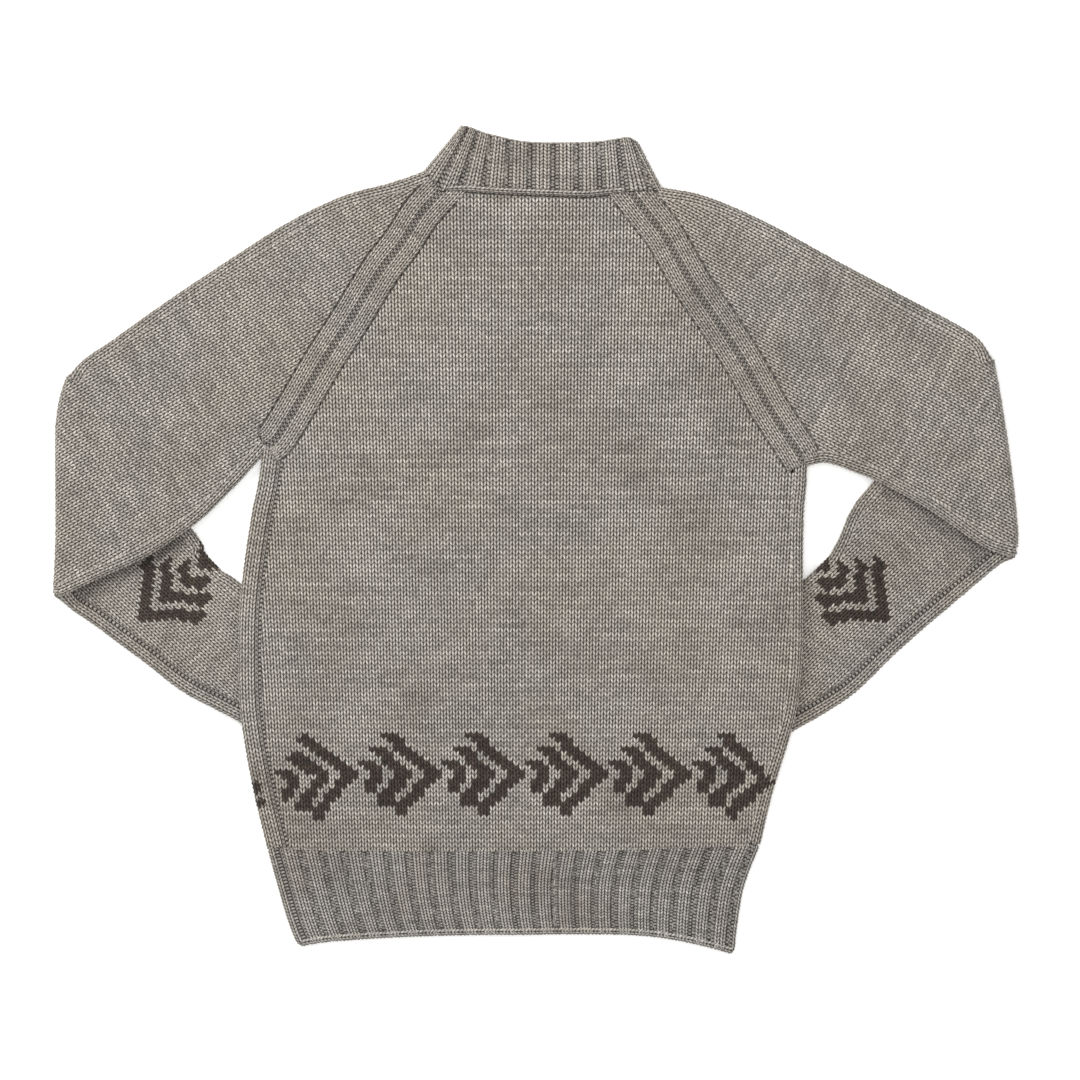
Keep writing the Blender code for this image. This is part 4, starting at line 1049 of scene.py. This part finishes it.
def collar_patches():
    """The collar: ribs across its back, its two folds, and its fronts underneath."""
    low_at = np.concatenate([[0.0], np.linspace(1, NECK_RIBS - 1, len(COLLAR_LOW) - 2), [NECK_RIBS]])
    top_line = TOP_BACK.dense
    fold_end = {}
    for side in SIGN:
        fold_end[side] = FOLD_TOP[side] + COLLAR_CORNER[side] * unit(FOLD_TOP[side] - NECK[side][0])
    top_x = np.array([fold_end["left"][0], *COLLAR_RIBS_TOP, fold_end["right"][0]])

    def surface(repeats, share):
        x = np.interp(repeats, np.arange(NECK_RIBS + 1), top_x)
        top = np.stack([x, np.interp(x, top_line[:, 0], top_line[:, 1])], -1)
        return between(read(repeats, low_at, COLLAR_LOW), top, share)

    def roll(share):
        turn = np.clip(1 - (1 - share) / TOP_TURN, 0, 1)
        return LIP * np.exp(-((share / LIP_REACH) ** 2)) - ROLL * (1 - np.sqrt(1 - turn**2))

    seam = Path(COLLAR_LOW[2:-2:3])
    foot = Rail(over(seam.dense, 0.2), raised(seam.right(seam.shares), 0.0), radius=ROLL)
    foot.rounded(SEAM_CORNER, SEAM_CORNER)
    # A sunk groove below the collar's rolled foot, with painted shadow in it; the roll gets a painted
    # highlight
    groove = wales([("groove", 1.8, -1.3), ("groove", 1.9, -1.5)], 1.2)
    top = rim(TOP_BACK, -1, lambda p: over(p, -0.3 - ROLL), ROLL, wales([("knit", 5.6, 0.0)]))
    patches = [
        rib_sheet(surface, NECK_RIBS, COLLAR_HEIGHT, roll),
        top,
        foot.strip(wales([("roll", 5.4, 0.3), ("roll", 4.4, 0.0)], -3.6)),
        strip(ribbon(seam, 1), seam.length, groove),
        inner_skin(np.vstack([COLLAR_LOW, top_line[::-1]]), over),
    ]
    edge = wales(knits(3, 4.4, 0.4), -1.0)
    for side, way in SIGN.items():
        fold = Path((NECK[side][0], fold_end[side]))
        rail = flat_rail(longer(fold, 5.0, 0.0), way, np.linspace(0, 1, 41))
        low, high = SEAM_FRONTS[side].dense, TOP_FRONTS[side].dense
        loop = outline(low, [low[-1], NECK[side][0]], fold.dense, high[::-1], [high[0], low[0]])
        patches += [
            rail.strip(edge, RIB_COURSE),
            lower_edge(TOP_FRONTS[side], -way),
            plain_under(loop, (0.0, 250.0), RIB_WALE, RIB_COURSE),
        ]
    return patches


def sleeve_patches(side):
    """A sleeve: upper arm round its crease, forearm on top and underneath, edges and raglan band."""
    sleeve = Sleeve(side)
    turn = sleeve.turn
    seam, front = SEAMS[side, "back"], SEAMS[side, "front"]
    crease, shoulder, low_arm = (path.dense for path in (sleeve.crease, sleeve.shoulder, sleeve.under))
    low, high = sleeve.low.dense, sleeve.high.dense
    arm = Cloth(sleeve.shoulder.at(np.array([0.5]))[0], ARM_WAY[side], ARM_WALE)
    arm_loop = outline(
        moved(seam, -turn * BAND_INSET),
        moved(sleeve.shoulder, -turn * FOLD_INSET),
        moved(sleeve.crease, -turn * PAST_CREASE)[::-1],
        moved(sleeve.under, turn * FOLD_INSET)[::-1],
    )
    upper = field(arm, arm_loop, sleeve.wrapped)
    skew = SIGN[side] * FOREARM_SKEW
    forearm = Cloth(SLEEVE_ARROW[side], FOREARM_WAY[side], FOREARM_WALE, skew=skew)
    chart = arrows((0.0, 0.0), SLEEVE_ARMS, SIGN[side], -2, 0)

    def brown(p):
        below = p[:, 1] < sleeve.high.at(np.array([BROWN_END]))[0, 1]
        return below & chart(*(np.floor(forearm.knit(p).T) + 0.5))

    wrist = [high[-1], low[-1]]
    face_loop = outline(
        crease, moved(sleeve.high, turn * FOLD_INSET), wrist, moved(sleeve.low, -turn * UNDER_INSET)[::-1]
    )
    face = field(forearm, face_loop, level_skin(TUBE_HEIGHT), chart=chart)
    # Painted shadow on the forearm beside the upper arm's edge
    off = face.points[:, :2] - nearest(face.points[:, :2], low_arm)[0]
    face.painted_shading = SHADE * np.exp(-((off**2).sum(1) / SHADE_REACH**2))
    floor_loop = outline(crease, high, wrist, low[::-1])
    arm_under = outline(
        front.dense, [front.dense[-1], NECK[side][0]], shoulder, crease[::-1], low_arm[::-1]
    )
    shoulder_edge = sleeve.edge_rail(sleeve.shoulder, sleeve.high, 1, turn, -turn)
    under_edge = sleeve.edge_rail(sleeve.under, sleeve.low, 0, -turn, turn)
    return [
        upper,
        face,
        field(forearm, floor_loop, level_skin(0.0), -UP, 1, 1, chart),
        field(arm, arm_under, under, -UP, 1, 1),
        shoulder_edge.strip(wales(knits(5, 5.3), -8.0), brown=brown),
        under_edge.strip(wales([*knits(3, 5.1, 0.2), *UNDER_SEAM], -8.0)),
        beside(longer(seam, 0.0, TUCK), -turn, RAGLAN_BAND),
        inner_skin(outline(seam.dense, shoulder, crease[::-1], low_arm[::-1]), over),
    ]


def cuff_patches(side):
    """A cuff lies hidden between the layers: both of its faces, with the shader's stitches."""
    sleeve = Sleeve(side)
    end = sleeve.cuff_end.dense
    low = [sleeve.low.dense[-1], end[0]]
    high = [sleeve.high.dense[-1], end[-1]]
    loop = outline(low, end, high[::-1], [high[0], low[0]])
    cloth = Cloth(high[0], FOREARM_WAY[side], RIB_WALE, RIB_COURSE)
    patches = [
        field(cloth, loop, level_skin(TUBE_HEIGHT), UP, 1, 1),
        field(cloth, loop, level_skin(0.0), -UP, 1, 1),
    ]
    for line, way in ((low, 1), (high, -1)):
        rail = flat_rail(Path(line), way * sleeve.turn, np.linspace(0, 1, 9))
        rail.middle[:, 2] = WALL + HALF_GAP
        patches.append(rail.strip(wales(knits(2, HALF_TURN / 2)), RIB_COURSE))
    return patches


# Space round each patch in the flat layout, in millimetres
PACK_MARGIN = 6.0


def packed(patches):
    """Flat places of all patches side by side in one square, from 0 to 1."""
    sizes = [np.ptp(patch.flat, axis=0) + PACK_MARGIN for patch in patches]
    order = sorted(range(len(patches)), key=lambda k: -sizes[k][1])
    side = math.sqrt(sum(w * h for w, h in sizes))
    while True:
        corners, x, y, shelf = {}, 0.0, 0.0, 0.0
        for k in order:
            w, h = sizes[k]
            if x + w > side and x > 0:
                x, y, shelf = 0.0, y + shelf, 0.0
            corners[k] = (x, y)
            x, shelf = x + w, max(shelf, h)
            widest = max(w, x)
            if widest > side:
                break
        if y + shelf <= side and len(corners) == len(patches) and widest <= side:
            break
        side *= 1.03
    places = []
    for k, patch in enumerate(patches):
        corner = vec(*corners[k]) + PACK_MARGIN / 2
        places.append((patch.flat - patch.flat.min(0) + corner) / side)
    return np.vstack(places)


def flat_area(patches):
    """Flat area of the cloth in square metres, from the stitches' flat places."""
    total = 0.0
    for patch in patches:
        a, b, c, d = (patch.flat[patch.faces[:, k]] for k in range(4))
        e, f = c - a, d - b
        total += np.abs(e[:, 0] * f[:, 1] - e[:, 1] * f[:, 0]).sum() / 2
    return total * MM * MM


def mesh_of(name, patches):
    """One mesh from patches, with the stitch count, flat place, purl share, painted shade and highlight,
    and colour stored on it.
    """
    starts = np.cumsum([0] + [len(patch.points) for patch in patches])
    points = np.vstack([patch.points for patch in patches])
    points[:, 2] = np.maximum(points[:, 2], 0.0)
    points = (points - MIDDLE) * MM
    faces = np.vstack([patch.faces + start for patch, start in zip(patches, starts)])
    mesh = bpy.data.meshes.new(name)
    mesh.vertices.add(len(points))
    mesh.vertices.foreach_set("co", points.ravel())
    mesh.loops.add(faces.size)
    mesh.loops.foreach_set("vertex_index", faces.ravel().astype(np.int32))
    mesh.polygons.add(len(faces))
    mesh.polygons.foreach_set("loop_start", np.arange(0, faces.size, 4, dtype=np.int32))
    mesh.polygons.foreach_set("use_smooth", np.ones(len(faces), bool))
    for layer, values in (
        ("OFBake", packed(patches)),
        ("Knit", np.vstack([patch.knit for patch in patches])),
    ):
        made = mesh.uv_layers.new(name=layer)
        made.data.foreach_set("uv", values[faces.ravel()].ravel().astype(np.float32))
    painted_shading_values = np.concatenate([patch.painted_shading for patch in patches])
    # Painted shade in the stretched holes where the seams meet
    for x, y, radius in HOLE_SHADES:
        off = points[:, :2] / MM - (vec(x, y) - MIDDLE[:2])
        painted_shading_values = np.maximum(painted_shading_values, np.exp(-((off**2).sum(1) / radius**2)))
    for layer, domain, values in (
        ("purl", "POINT", np.concatenate([patch.purl for patch in patches])),
        ("painted_shading", "POINT", painted_shading_values),
        ("brown", "FACE", np.concatenate([patch.brown for patch in patches])),
    ):
        made = mesh.attributes.new(layer, "FLOAT", domain)
        made.data.foreach_set("value", values.astype(np.float32))
    mesh.update(calc_edges=True)
    mesh.validate()
    return mesh


def linear(colour):
    """Scene-linear colour of an sRGB hex one."""
    values = [int(colour[k : k + 2], 16) / 255 for k in (1, 3, 5)]
    return tuple(v / 12.92 if v <= 0.04045 else ((v + 0.055) / 1.055) ** 2.4 for v in values) + (1.0,)


class Nodes:
    """Short calls for a material's nodes: each adds one and gives its first output."""

    def __init__(self, name):
        self.material = bpy.data.materials.new(name)
        self.material.use_nodes = True
        self.tree = self.material.node_tree
        self.shader = self.tree.nodes["Principled BSDF"]
        self.where = self.add("ShaderNodeTexCoord", output=3)

    def add(self, kind, *values, output=0, **settings):
        node = self.tree.nodes.new(kind)
        for key, value in settings.items():
            setattr(node, key, value)
        for socket, value in zip(node.inputs, values):
            self.put(socket, value)
        return node.outputs[output]

    def put(self, socket, value):
        if isinstance(value, bpy.types.NodeSocket):
            self.tree.links.new(value, socket)
        else:
            socket.default_value = value

    def math(self, operation, *values):
        return self.add("ShaderNodeMath", *values, operation=operation)

    def times(self, value, *others):
        for other in others:
            value = self.math("MULTIPLY", value, other)
        return value

    def plus(self, value, *others):
        for other in others:
            value = self.math("ADD", value, other)
        return value

    def less(self, value, other):
        return self.math("SUBTRACT", value, other)

    def wave(self, value):
        """Sine of a number of half turns."""
        return self.math("SINE", self.times(value, math.pi))

    def blend(self, factor, first, second, way="MIX"):
        node = self.tree.nodes.new("ShaderNodeMix")
        node.data_type = "RGBA"
        node.blend_type = way
        for socket, value in ((node.inputs[0], factor), (node.inputs[6], first), (node.inputs[7], second)):
            self.put(socket, value)
        return node.outputs[2]

    def scaled(self, value, low, high, to_low=0.0, to_high=1.0):
        return self.add("ShaderNodeMapRange", value, low, high, to_low, to_high)

    def texture(self, kind, **inputs):
        """A texture on the object, with its inputs by name."""
        node = self.tree.nodes.new(kind)
        for name, value in {"Vector": self.where, **inputs}.items():
            self.put(node.inputs[name], value)
        return node

    def noise(self, scale, detail=2.0, rough=0.5, **at):
        node = self.texture("ShaderNodeTexNoise", Scale=scale, Detail=detail, Roughness=rough, **at)
        return node.outputs["Fac"]

    def twill(self, scale, depth):
        """Slanting ridges, with their relief on the shader."""
        node = self.texture("ShaderNodeTexWave", Scale=scale)
        node.bands_direction = "DIAGONAL"
        self.relief(node.outputs["Fac"], depth)
        return node.outputs["Fac"]

    def relief(self, height, depth, strength=1.0):
        node = self.tree.nodes.new("ShaderNodeBump")
        for name, value in (("Strength", strength), ("Distance", depth), ("Height", height)):
            self.put(node.inputs[name], value)
        self.put(self.shader.inputs["Normal"], node.outputs[0])

    def attribute(self, name):
        return self.add("ShaderNodeAttribute", attribute_name=name, output=2)

    def coat(self, colour, roughness, **more):
        """The finished material, from its colour, roughness and other inputs of the shader."""
        for name, value in {"Base Color": colour, "Roughness": roughness, **more}.items():
            self.put(self.shader.inputs[name.replace("_", " ")], value)
        return self.material


def wool(name, tint, depth):
    """Heathered yarn in knit stitches: slanted legs or purl bumps, ply twist, fuzz, flecks, barring, and
    painted shade and highlight.
    """
    n = Nodes(name)
    split = n.tree.nodes.new("ShaderNodeSeparateXYZ")
    n.put(split.inputs[0], n.add("ShaderNodeUVMap", uv_map="Knit"))
    u, v = split.outputs[0], split.outputs[1]
    purl = n.attribute("purl")
    half = n.times(n.math("ABSOLUTE", n.less(n.math("FRACT", u), 0.5)), 2.0)
    square = n.math("POWER", half, 2.0)
    leg_v = n.less(v, n.times(half, SLANT))
    along = n.math("MAXIMUM", n.math("ABSOLUTE", n.wave(leg_v)), 0.02)
    leg = n.times(n.math("POWER", n.wave(half), 0.7), n.math("POWER", along, 0.45))
    arch = n.plus(v, n.times(n.math("FLOOR", u), 0.5), n.times(square, 0.3))
    bump = n.times(n.math("ABSOLUTE", n.wave(arch)), n.less(1.0, n.times(square, 0.6)), 0.8)
    form = n.plus(n.times(leg, n.less(1.0, purl)), n.times(bump, purl))
    twist = n.math("SINE", n.plus(n.times(leg_v, 15.0), n.times(half, 13.0)))
    fuzz, fibre = n.noise(900.0, 3.0, 0.6), n.noise(2600.0, 2.0, 0.7)
    parts = (n.times(form, depth), n.times(twist, 0.05), n.times(fuzz, 0.35), n.times(fibre, 0.12))
    n.relief(n.plus(*parts), 0.001, 0.8)

    stitch = n.add("ShaderNodeCombineXYZ", n.math("FLOOR", u), n.math("FLOOR", leg_v), 0.0)
    own = n.add("ShaderNodeTexWhiteNoise", stitch, noise_dimensions="3D")
    rows = n.add("ShaderNodeCombineXYZ", n.times(u, 0.11), n.math("FLOOR", leg_v), 0.0)
    bars = n.noise(0.9, 2.0, 0.6, Vector=rows)
    patches = n.noise(16.0, 3.0, 0.55)
    flecks = n.noise(420.0, 3.0, 0.65)
    light = n.blend(n.scaled(flecks, 0.34, 0.64), linear("#8f8980"), linear("#bcb6ac"))
    light = n.blend(n.scaled(n.noise(11.0), 0.42, 0.62, 0.0, 0.22), light, linear("#a2907c"))
    dark = n.blend(n.scaled(flecks, 0.35, 0.65), linear("#2b231e"), linear("#55483f"))
    yarn = n.blend(n.attribute("brown"), n.blend(1.0, light, linear(tint), "MULTIPLY"), dark)
    tone = n.plus(
        n.scaled(own, 0.0, 1.0, -0.12, 0.12), n.scaled(bars, 0.3, 0.7, -0.2, 0.2),
        n.scaled(patches, 0.3, 0.7, -0.11, 0.11), 1.0,
    )
    # Painted shade: darker between the legs and bumps, on purl, in grooves and holes and beside the arm's
    # edge; painted highlight on rolls; all times the yarn's random tone
    tone_and_painted_shade = n.times(
        tone, n.scaled(form, 0.24, 0.86, 0.03, 1.10), n.scaled(purl, 0.0, 1.0, 1.0, 0.9),
        n.math("MULTIPLY_ADD", n.attribute("painted_shading"), -0.88, 1.0),
    )
    grey = n.add("ShaderNodeCombineColor", tone_and_painted_shade, tone_and_painted_shade, tone_and_painted_shade)
    return n.coat(
        n.blend(1.0, yarn, grey, "MULTIPLY"), 0.92, Specular_IOR_Level=0.25, Sheen_Weight=0.25,
        Sheen_Roughness=0.6, Sheen_Tint=linear("#d6d2cc"),
    )


def thread():
    """Spun sewing thread, plied at 0.6 mm, with painted shade between the plies."""
    n = Nodes("sewing thread")
    ply = n.twill(520.0, 0.0001)
    tone = n.blend(n.noise(300.0), linear("#7f786d"), linear("#9b9488"))
    # Darker towards the low side of each ply's relief: painted shade
    return n.coat(n.blend(n.scaled(ply, 0.0, 1.0, 0.5, 0.0), tone, linear("#5f594f")), 0.75)


def nickel():
    """Dull nickel plate on the zip, with fine scratches and a little tarnish."""
    n = Nodes("dull nickel")
    tarnished = n.blend(n.noise(90.0), linear("#a9a59c"), linear("#8b867b"))
    return n.coat(tarnished, n.scaled(n.noise(700.0, 3.0, 0.6), 0.3, 0.7, 0.28, 0.48), Metallic=1.0)


def tape_weave():
    """Twill-woven cotton tape of the zip, with its ribs at 0.5 mm and painted shade between them."""
    n = Nodes("woven tape")
    # Darker in the low parts of the twill's relief: painted shade
    return n.coat(n.blend(n.twill(600.0, 0.0002), linear("#6b6358"), linear("#857c6f")), 0.9)


KNIT = wool("oatmeal wool knit", "#fdfdff", 0.35)
RIB = wool("oatmeal wool rib", "#f6f8fd", 0.35)

# Pieces of cloth: node, patches, material, slot, flat width and length in metres, what each lies on
PIECES = (
    ("back", body_patches, KNIT, "wool_knit", (0.54, 0.62), ["left_front", "right_front"]),
    ("left_front", left_front_patches, KNIT, "wool_knit", (0.31, 0.60), ["left_sleeve"]),
    ("right_front", right_front_patches, KNIT, "wool_knit", (0.27, 0.60), ["right_sleeve"]),
    ("left_sleeve", lambda: sleeve_patches("left"), KNIT, "wool_knit", (0.56, 0.64), []),
    ("right_sleeve", lambda: sleeve_patches("right"), KNIT, "wool_knit", (0.56, 0.64), []),
    (
        "back_welt", back_welt_patches, RIB, "wool_rib", (0.48, 0.095),
        ["left_front_welt", "right_front_welt"],
    ),
    ("left_front_welt", left_front_welt_patches, RIB, "wool_rib", (0.27, 0.095), []),
    ("right_front_welt", right_front_welt_patches, RIB, "wool_rib", (0.22, 0.095), []),
    ("left_cuff", lambda: cuff_patches("left"), RIB, "wool_rib", (0.20, 0.08), []),
    ("right_cuff", lambda: cuff_patches("right"), RIB, "wool_rib", (0.20, 0.08), []),
    ("collar", collar_patches, KNIT, "wool_rib", (0.46, 0.08), ["left_front", "right_front"]),
)


# Least share of its flat rectangle that a piece covers
LEAST_SHARE = 0.3


def placed(name, data):
    """A new object in the scene."""
    made = bpy.data.objects.new(name, data)
    bpy.context.scene.collection.objects.link(made)
    return made


def make_cloth():
    """The knitted pieces over the plain cloth, each a sheet laid flat."""
    made = {}
    for node, patches_of, material, slot, flat, rests_on in PIECES:
        patches = patches_of()
        mesh = mesh_of(node + "_knit", patches)
        mesh.materials.append(material)
        piece = placed(node + "_knit", mesh)
        area = min(flat_area(patches), flat[0] * flat[1])
        made[node] = (piece, flat, area, rests_on)
        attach(piece, "garment")
        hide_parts(node)
    for piece, flat, area, rests_on in made.values():
        below = [made[name][0].name for name in rests_on]
        area = max(area, LEAST_SHARE * flat[0] * flat[1])


# Zip teeth: half of one tooth's outline from its foot to its head, and its levels, in millimetres
TOOTH_PITCH = 2.9
TOOTH_FOOT = 2.7
TOOTH_OUTLINE = ((0.0, 0.62), (0.9, 0.74), (1.5, 0.52), (2.0, 0.44), (2.5, 0.6), (3.1, 0.66), (3.5, 0.4))
TOOTH_LEVELS = ((-1.08, 0.78), (-0.75, 1.0), (0.75, 1.0), (1.08, 0.78))
TOOTH_MIDDLE = 1.75
TOOTH_THINNER = 0.07

# Sewing: run of one stitch, its thread's radius along it, and its places off the zip's middle and up
SEW_PITCH = 3.4
SEW_RINGS = (
    (-1.35, 0.1, 0.4), (-1.15, 0.24, 0.08), (0.0, 0.27, 0.0), (1.15, 0.24, 0.08), (1.35, 0.1, 0.4),
)
SEW_SIDES = 6
SEW_OFF = 8.4
SEW_UNDER = 0.8
SEW_OVER = 4.9
SEW_END = 4.0

# Run of the zip and of its chain between the slider and the box, in millimetres from its top
ZIP_LENGTH = float(np.linalg.norm(ZIP_BOTTOM - ZIP_TOP))
BOX_LENGTH = 8.0
CHAIN_START = SLIDER_AT + 2 * SEAM_GAP
CHAIN_END = ZIP_LENGTH - BOX_LENGTH - SEAM_GAP


def along_zip(distance, z):
    """A point a distance down from the zip's top, in metres."""
    p = ZIP_TOP + distance * unit(ZIP_BOTTOM - ZIP_TOP)
    return (np.append(p, z) - MIDDLE) * MM


def lofted(name, bodies):
    """One mesh of closed bodies, each from rings of points in millimetres."""
    made = bmesh.new()
    for rings in bodies:
        rows = [[made.verts.new(np.array(point) * MM) for point in ring] for ring in rings]
        for low, high in zip(rows, rows[1:]):
            for k in range(len(low)):
                made.faces.new((low[k - 1], low[k], high[k], high[k - 1]))
        made.faces.new(rows[0])
        made.faces.new(rows[-1])
    bmesh.ops.recalc_face_normals(made, faces=made.faces)
    mesh = bpy.data.meshes.new(name)
    made.to_mesh(mesh)
    made.free()
    return mesh


def tooth_rings(side, shift):
    """A tooth clamped on the tape at one side, its head past the chain's middle."""
    both_sides = [*TOOTH_OUTLINE, *((x, -w) for x, w in reversed(TOOTH_OUTLINE))]
    rings = []
    for z, share in TOOTH_LEVELS:
        ring = []
        for x, w in both_sides:
            along = TOOTH_MIDDLE + (x - TOOTH_MIDDLE) * (1 - (1 - share) * 0.4)
            ring.append((side * (TOOTH_FOOT - along), w * share + shift, z * (1 - TOOTH_THINNER * x)))
        rings.append(ring)
    return rings


def stitch_rings(off, level, sink):
    """One sewing stitch along the zip, with its two ends sunk into the cloth."""
    rings = []
    for y, radius, deep in SEW_RINGS:
        ring = []
        for k in range(SEW_SIDES):
            turn = 2 * math.pi * k / SEW_SIDES
            z = level + sink * deep + radius * math.sin(turn)
            ring.append((off + radius * math.cos(turn), y, z))
        rings.append(ring)
    return rings


def repeat_tree():
    """Node tree that sets copies of a piece along a line, each turned a little by a fixed seed."""
    tree = bpy.data.node_groups.new("repeat along a line", "GeometryNodeTree")
    kinds = (
        ("Start", "NodeSocketVector"), ("End", "NodeSocketVector"), ("Spacing", "NodeSocketFloat"),
        ("Turn low", "NodeSocketVector"), ("Turn high", "NodeSocketVector"), ("Seed", "NodeSocketInt"),
        ("Piece", "NodeSocketObject"), ("Material", "NodeSocketMaterial"),
    )
    inputs = {}
    for name, kind in kinds:
        inputs[name] = tree.interface.new_socket(name, in_out="INPUT", socket_type=kind).identifier
    tree.interface.new_socket("Geometry", in_out="OUTPUT", socket_type="NodeSocketGeometry")
    given = tree.nodes.new("NodeGroupInput")
    result = tree.nodes.new("NodeGroupOutput")
    line = tree.nodes.new("GeometryNodeCurvePrimitiveLine")
    points = tree.nodes.new("GeometryNodeCurveToPoints")
    points.mode = "LENGTH"
    turn = tree.nodes.new("FunctionNodeRandomValue")
    turn.data_type = "FLOAT_VECTOR"
    rotation = tree.nodes.new("FunctionNodeEulerToRotation")
    piece = tree.nodes.new("GeometryNodeObjectInfo")
    copies = tree.nodes.new("GeometryNodeInstanceOnPoints")
    real = tree.nodes.new("GeometryNodeRealizeInstances")
    finish = tree.nodes.new("GeometryNodeSetMaterial")
    for source, name, target, socket in (
        (given, "Start", line, "Start"), (given, "End", line, "End"), (line, "Curve", points, "Curve"),
        (given, "Spacing", points, "Length"), (given, "Turn low", turn, 0), (given, "Turn high", turn, 1),
        (given, "Seed", turn, "Seed"), (turn, 0, rotation, 0), (given, "Piece", piece, "Object"),
        (points, "Points", copies, "Points"), (piece, "Geometry", copies, "Instance"),
        (rotation, 0, copies, "Rotation"), (copies, "Instances", real, "Geometry"),
        (real, "Geometry", finish, "Geometry"), (given, "Material", finish, "Material"),
        (finish, "Geometry", result, "Geometry"),
    ):
        tree.links.new(source.outputs[name], target.inputs[socket])
    return tree, inputs


def repeated(name, bodies, start, end, spacing, wobble, material):
    """Copies of some bodies along the zip, as one plain mesh."""
    piece = placed(name + "_one", lofted(name + "_one", bodies))
    holder = placed(name, bpy.data.meshes.new(name))
    tree, inputs = repeat_tree()
    way = ZIP_TOP - ZIP_BOTTOM
    turn = math.atan2(-way[0], way[1])
    modifier = holder.modifiers.new("repeat", "NODES")
    modifier.node_group = tree
    for socket, value in (
        ("Start", start), ("End", end), ("Spacing", spacing * MM), ("Seed", SEED), ("Piece", piece),
        ("Turn low", (0.0, 0.0, turn - wobble)), ("Turn high", (0.0, 0.0, turn + wobble)),
        ("Material", material),
    ):
        modifier[inputs[socket]] = value
    bpy.context.view_layer.update()
    done = holder.evaluated_get(bpy.context.evaluated_depsgraph_get())
    mesh = bpy.data.meshes.new_from_object(done)
    holder.modifiers.clear()
    holder.data = mesh
    bpy.data.objects.remove(piece)
    return holder


def make_zip(metal):
    """The zip's teeth on both tapes, and the sewing that holds the tapes."""
    pair = [tooth_rings(-1, 0.0), tooth_rings(1, TOOTH_PITCH / 2)]
    start, end = along_zip(CHAIN_START + 1.0, CHAIN_Z), along_zip(CHAIN_END - 1.0, CHAIN_Z)
    teeth = repeated("zip_teeth", pair, start, end, TOOTH_PITCH, 0.02, metal)
    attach(teeth, "garment")
    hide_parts("zip_chain")
    rows = [(off, *level) for level in ((SEW_UNDER, 1), (SEW_OVER, -1)) for off in (-SEW_OFF, SEW_OFF)]
    seams = [stitch_rings(*row) for row in rows]
    start, end = along_zip(SEW_END, 0.0), along_zip(ZIP_LENGTH - SEW_END, 0.0)
    sewing = repeated("zip_sewing", seams, start, end, SEW_PITCH, 0.0, thread())
    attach(sewing, "garment")


def dress_metal(metal):
    """The zip's own solids keep their shapes, with softened edges and finished materials."""
    tape = tape_weave()
    for name in ("zip_slider", "zip_pull_tab", "zip_box"):
        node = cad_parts[name]
        node.data.materials.clear()
        node.data.materials.append(metal)
        bevel = node.modifiers.new("softened edges", "BEVEL")
        bevel.width = 0.15 * MM
        bevel.segments = 2
    for name in ("zip_tape_left", "zip_tape_right"):
        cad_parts[name].data.materials.clear()
        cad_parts[name].data.materials.append(tape)


# Camera straight over the garment, and the floor's half width and height, in metres
VIEW_WIDTH = 0.972
VIEW_MIDDLE = (0.00398, 0.00027)
CAMERA_HEIGHT = 3.2
CLOTH_HEIGHT = 0.010
SENSOR = 36.0
FLOOR_HALF = 4.0
FLOOR_Z = -0.0004
WHITE = (1.0, 1.0, 1.0, 1.0)

# Square softboxes aimed at the garment: name, place and width in metres, and power in watts
SOFTBOXES = (
    ("overhead softbox", (0.0, 0.0, 2.6), 2.0, 30.0),
    ("key softbox", (-1.4, 1.5, 1.2), 0.8, 44.0),
    ("fill softbox", (1.6, -1.2, 1.5), 1.4, 12.0),
)


def make_stage():
    """White paper under the garment, the camera over it, and its light."""
    floor = bpy.data.meshes.new("floor")
    square = ((-1, -1), (1, -1), (1, 1), (-1, 1))
    corners = [(x * FLOOR_HALF, y * FLOOR_HALF, FLOOR_Z) for x, y in square]
    floor.from_pydata(corners, [], [(0, 1, 2, 3)])
    n = Nodes("white paper")
    paper = n.blend(n.noise(3.0), linear("#f4f4f2"), linear("#f8f8f7"))
    floor.materials.append(n.coat(paper, 0.8, Emission_Color=WHITE, Emission_Strength=0.22))
    stage = placed("floor", floor)

    camera = bpy.data.cameras.new("camera")
    camera.sensor_width = SENSOR
    camera.lens = SENSOR * (CAMERA_HEIGHT - CLOTH_HEIGHT) / VIEW_WIDTH
    camera.clip_end = 20.0
    view = placed("camera", camera)
    view.location = (*VIEW_MIDDLE, CAMERA_HEIGHT)
    bpy.context.scene.camera = view

    for name, place, size, power in SOFTBOXES:
        lamp = bpy.data.lights.new(name, "AREA")
        lamp.shape = "SQUARE"
        lamp.size = size
        lamp.energy = power
        light = placed(name, lamp)
        light.location = place
        aim = -np.array(place)
        light.rotation_euler = (
            math.acos(-aim[2] / np.linalg.norm(aim)),
            0.0,
            math.atan2(aim[1], aim[0]) - math.pi / 2 if abs(aim[0]) + abs(aim[1]) > 0 else 0.0,
        )
    world = bpy.data.worlds.new("studio")
    world.use_nodes = True
    background = world.node_tree.nodes["Background"]
    background.inputs[0].default_value = WHITE
    background.inputs[1].default_value = 0.55
    bpy.context.scene.world = world
    bpy.context.scene.view_settings.view_transform = "Standard"


make_cloth()
NICKEL = nickel()
dress_metal(NICKEL)
make_zip(NICKEL)
make_stage()
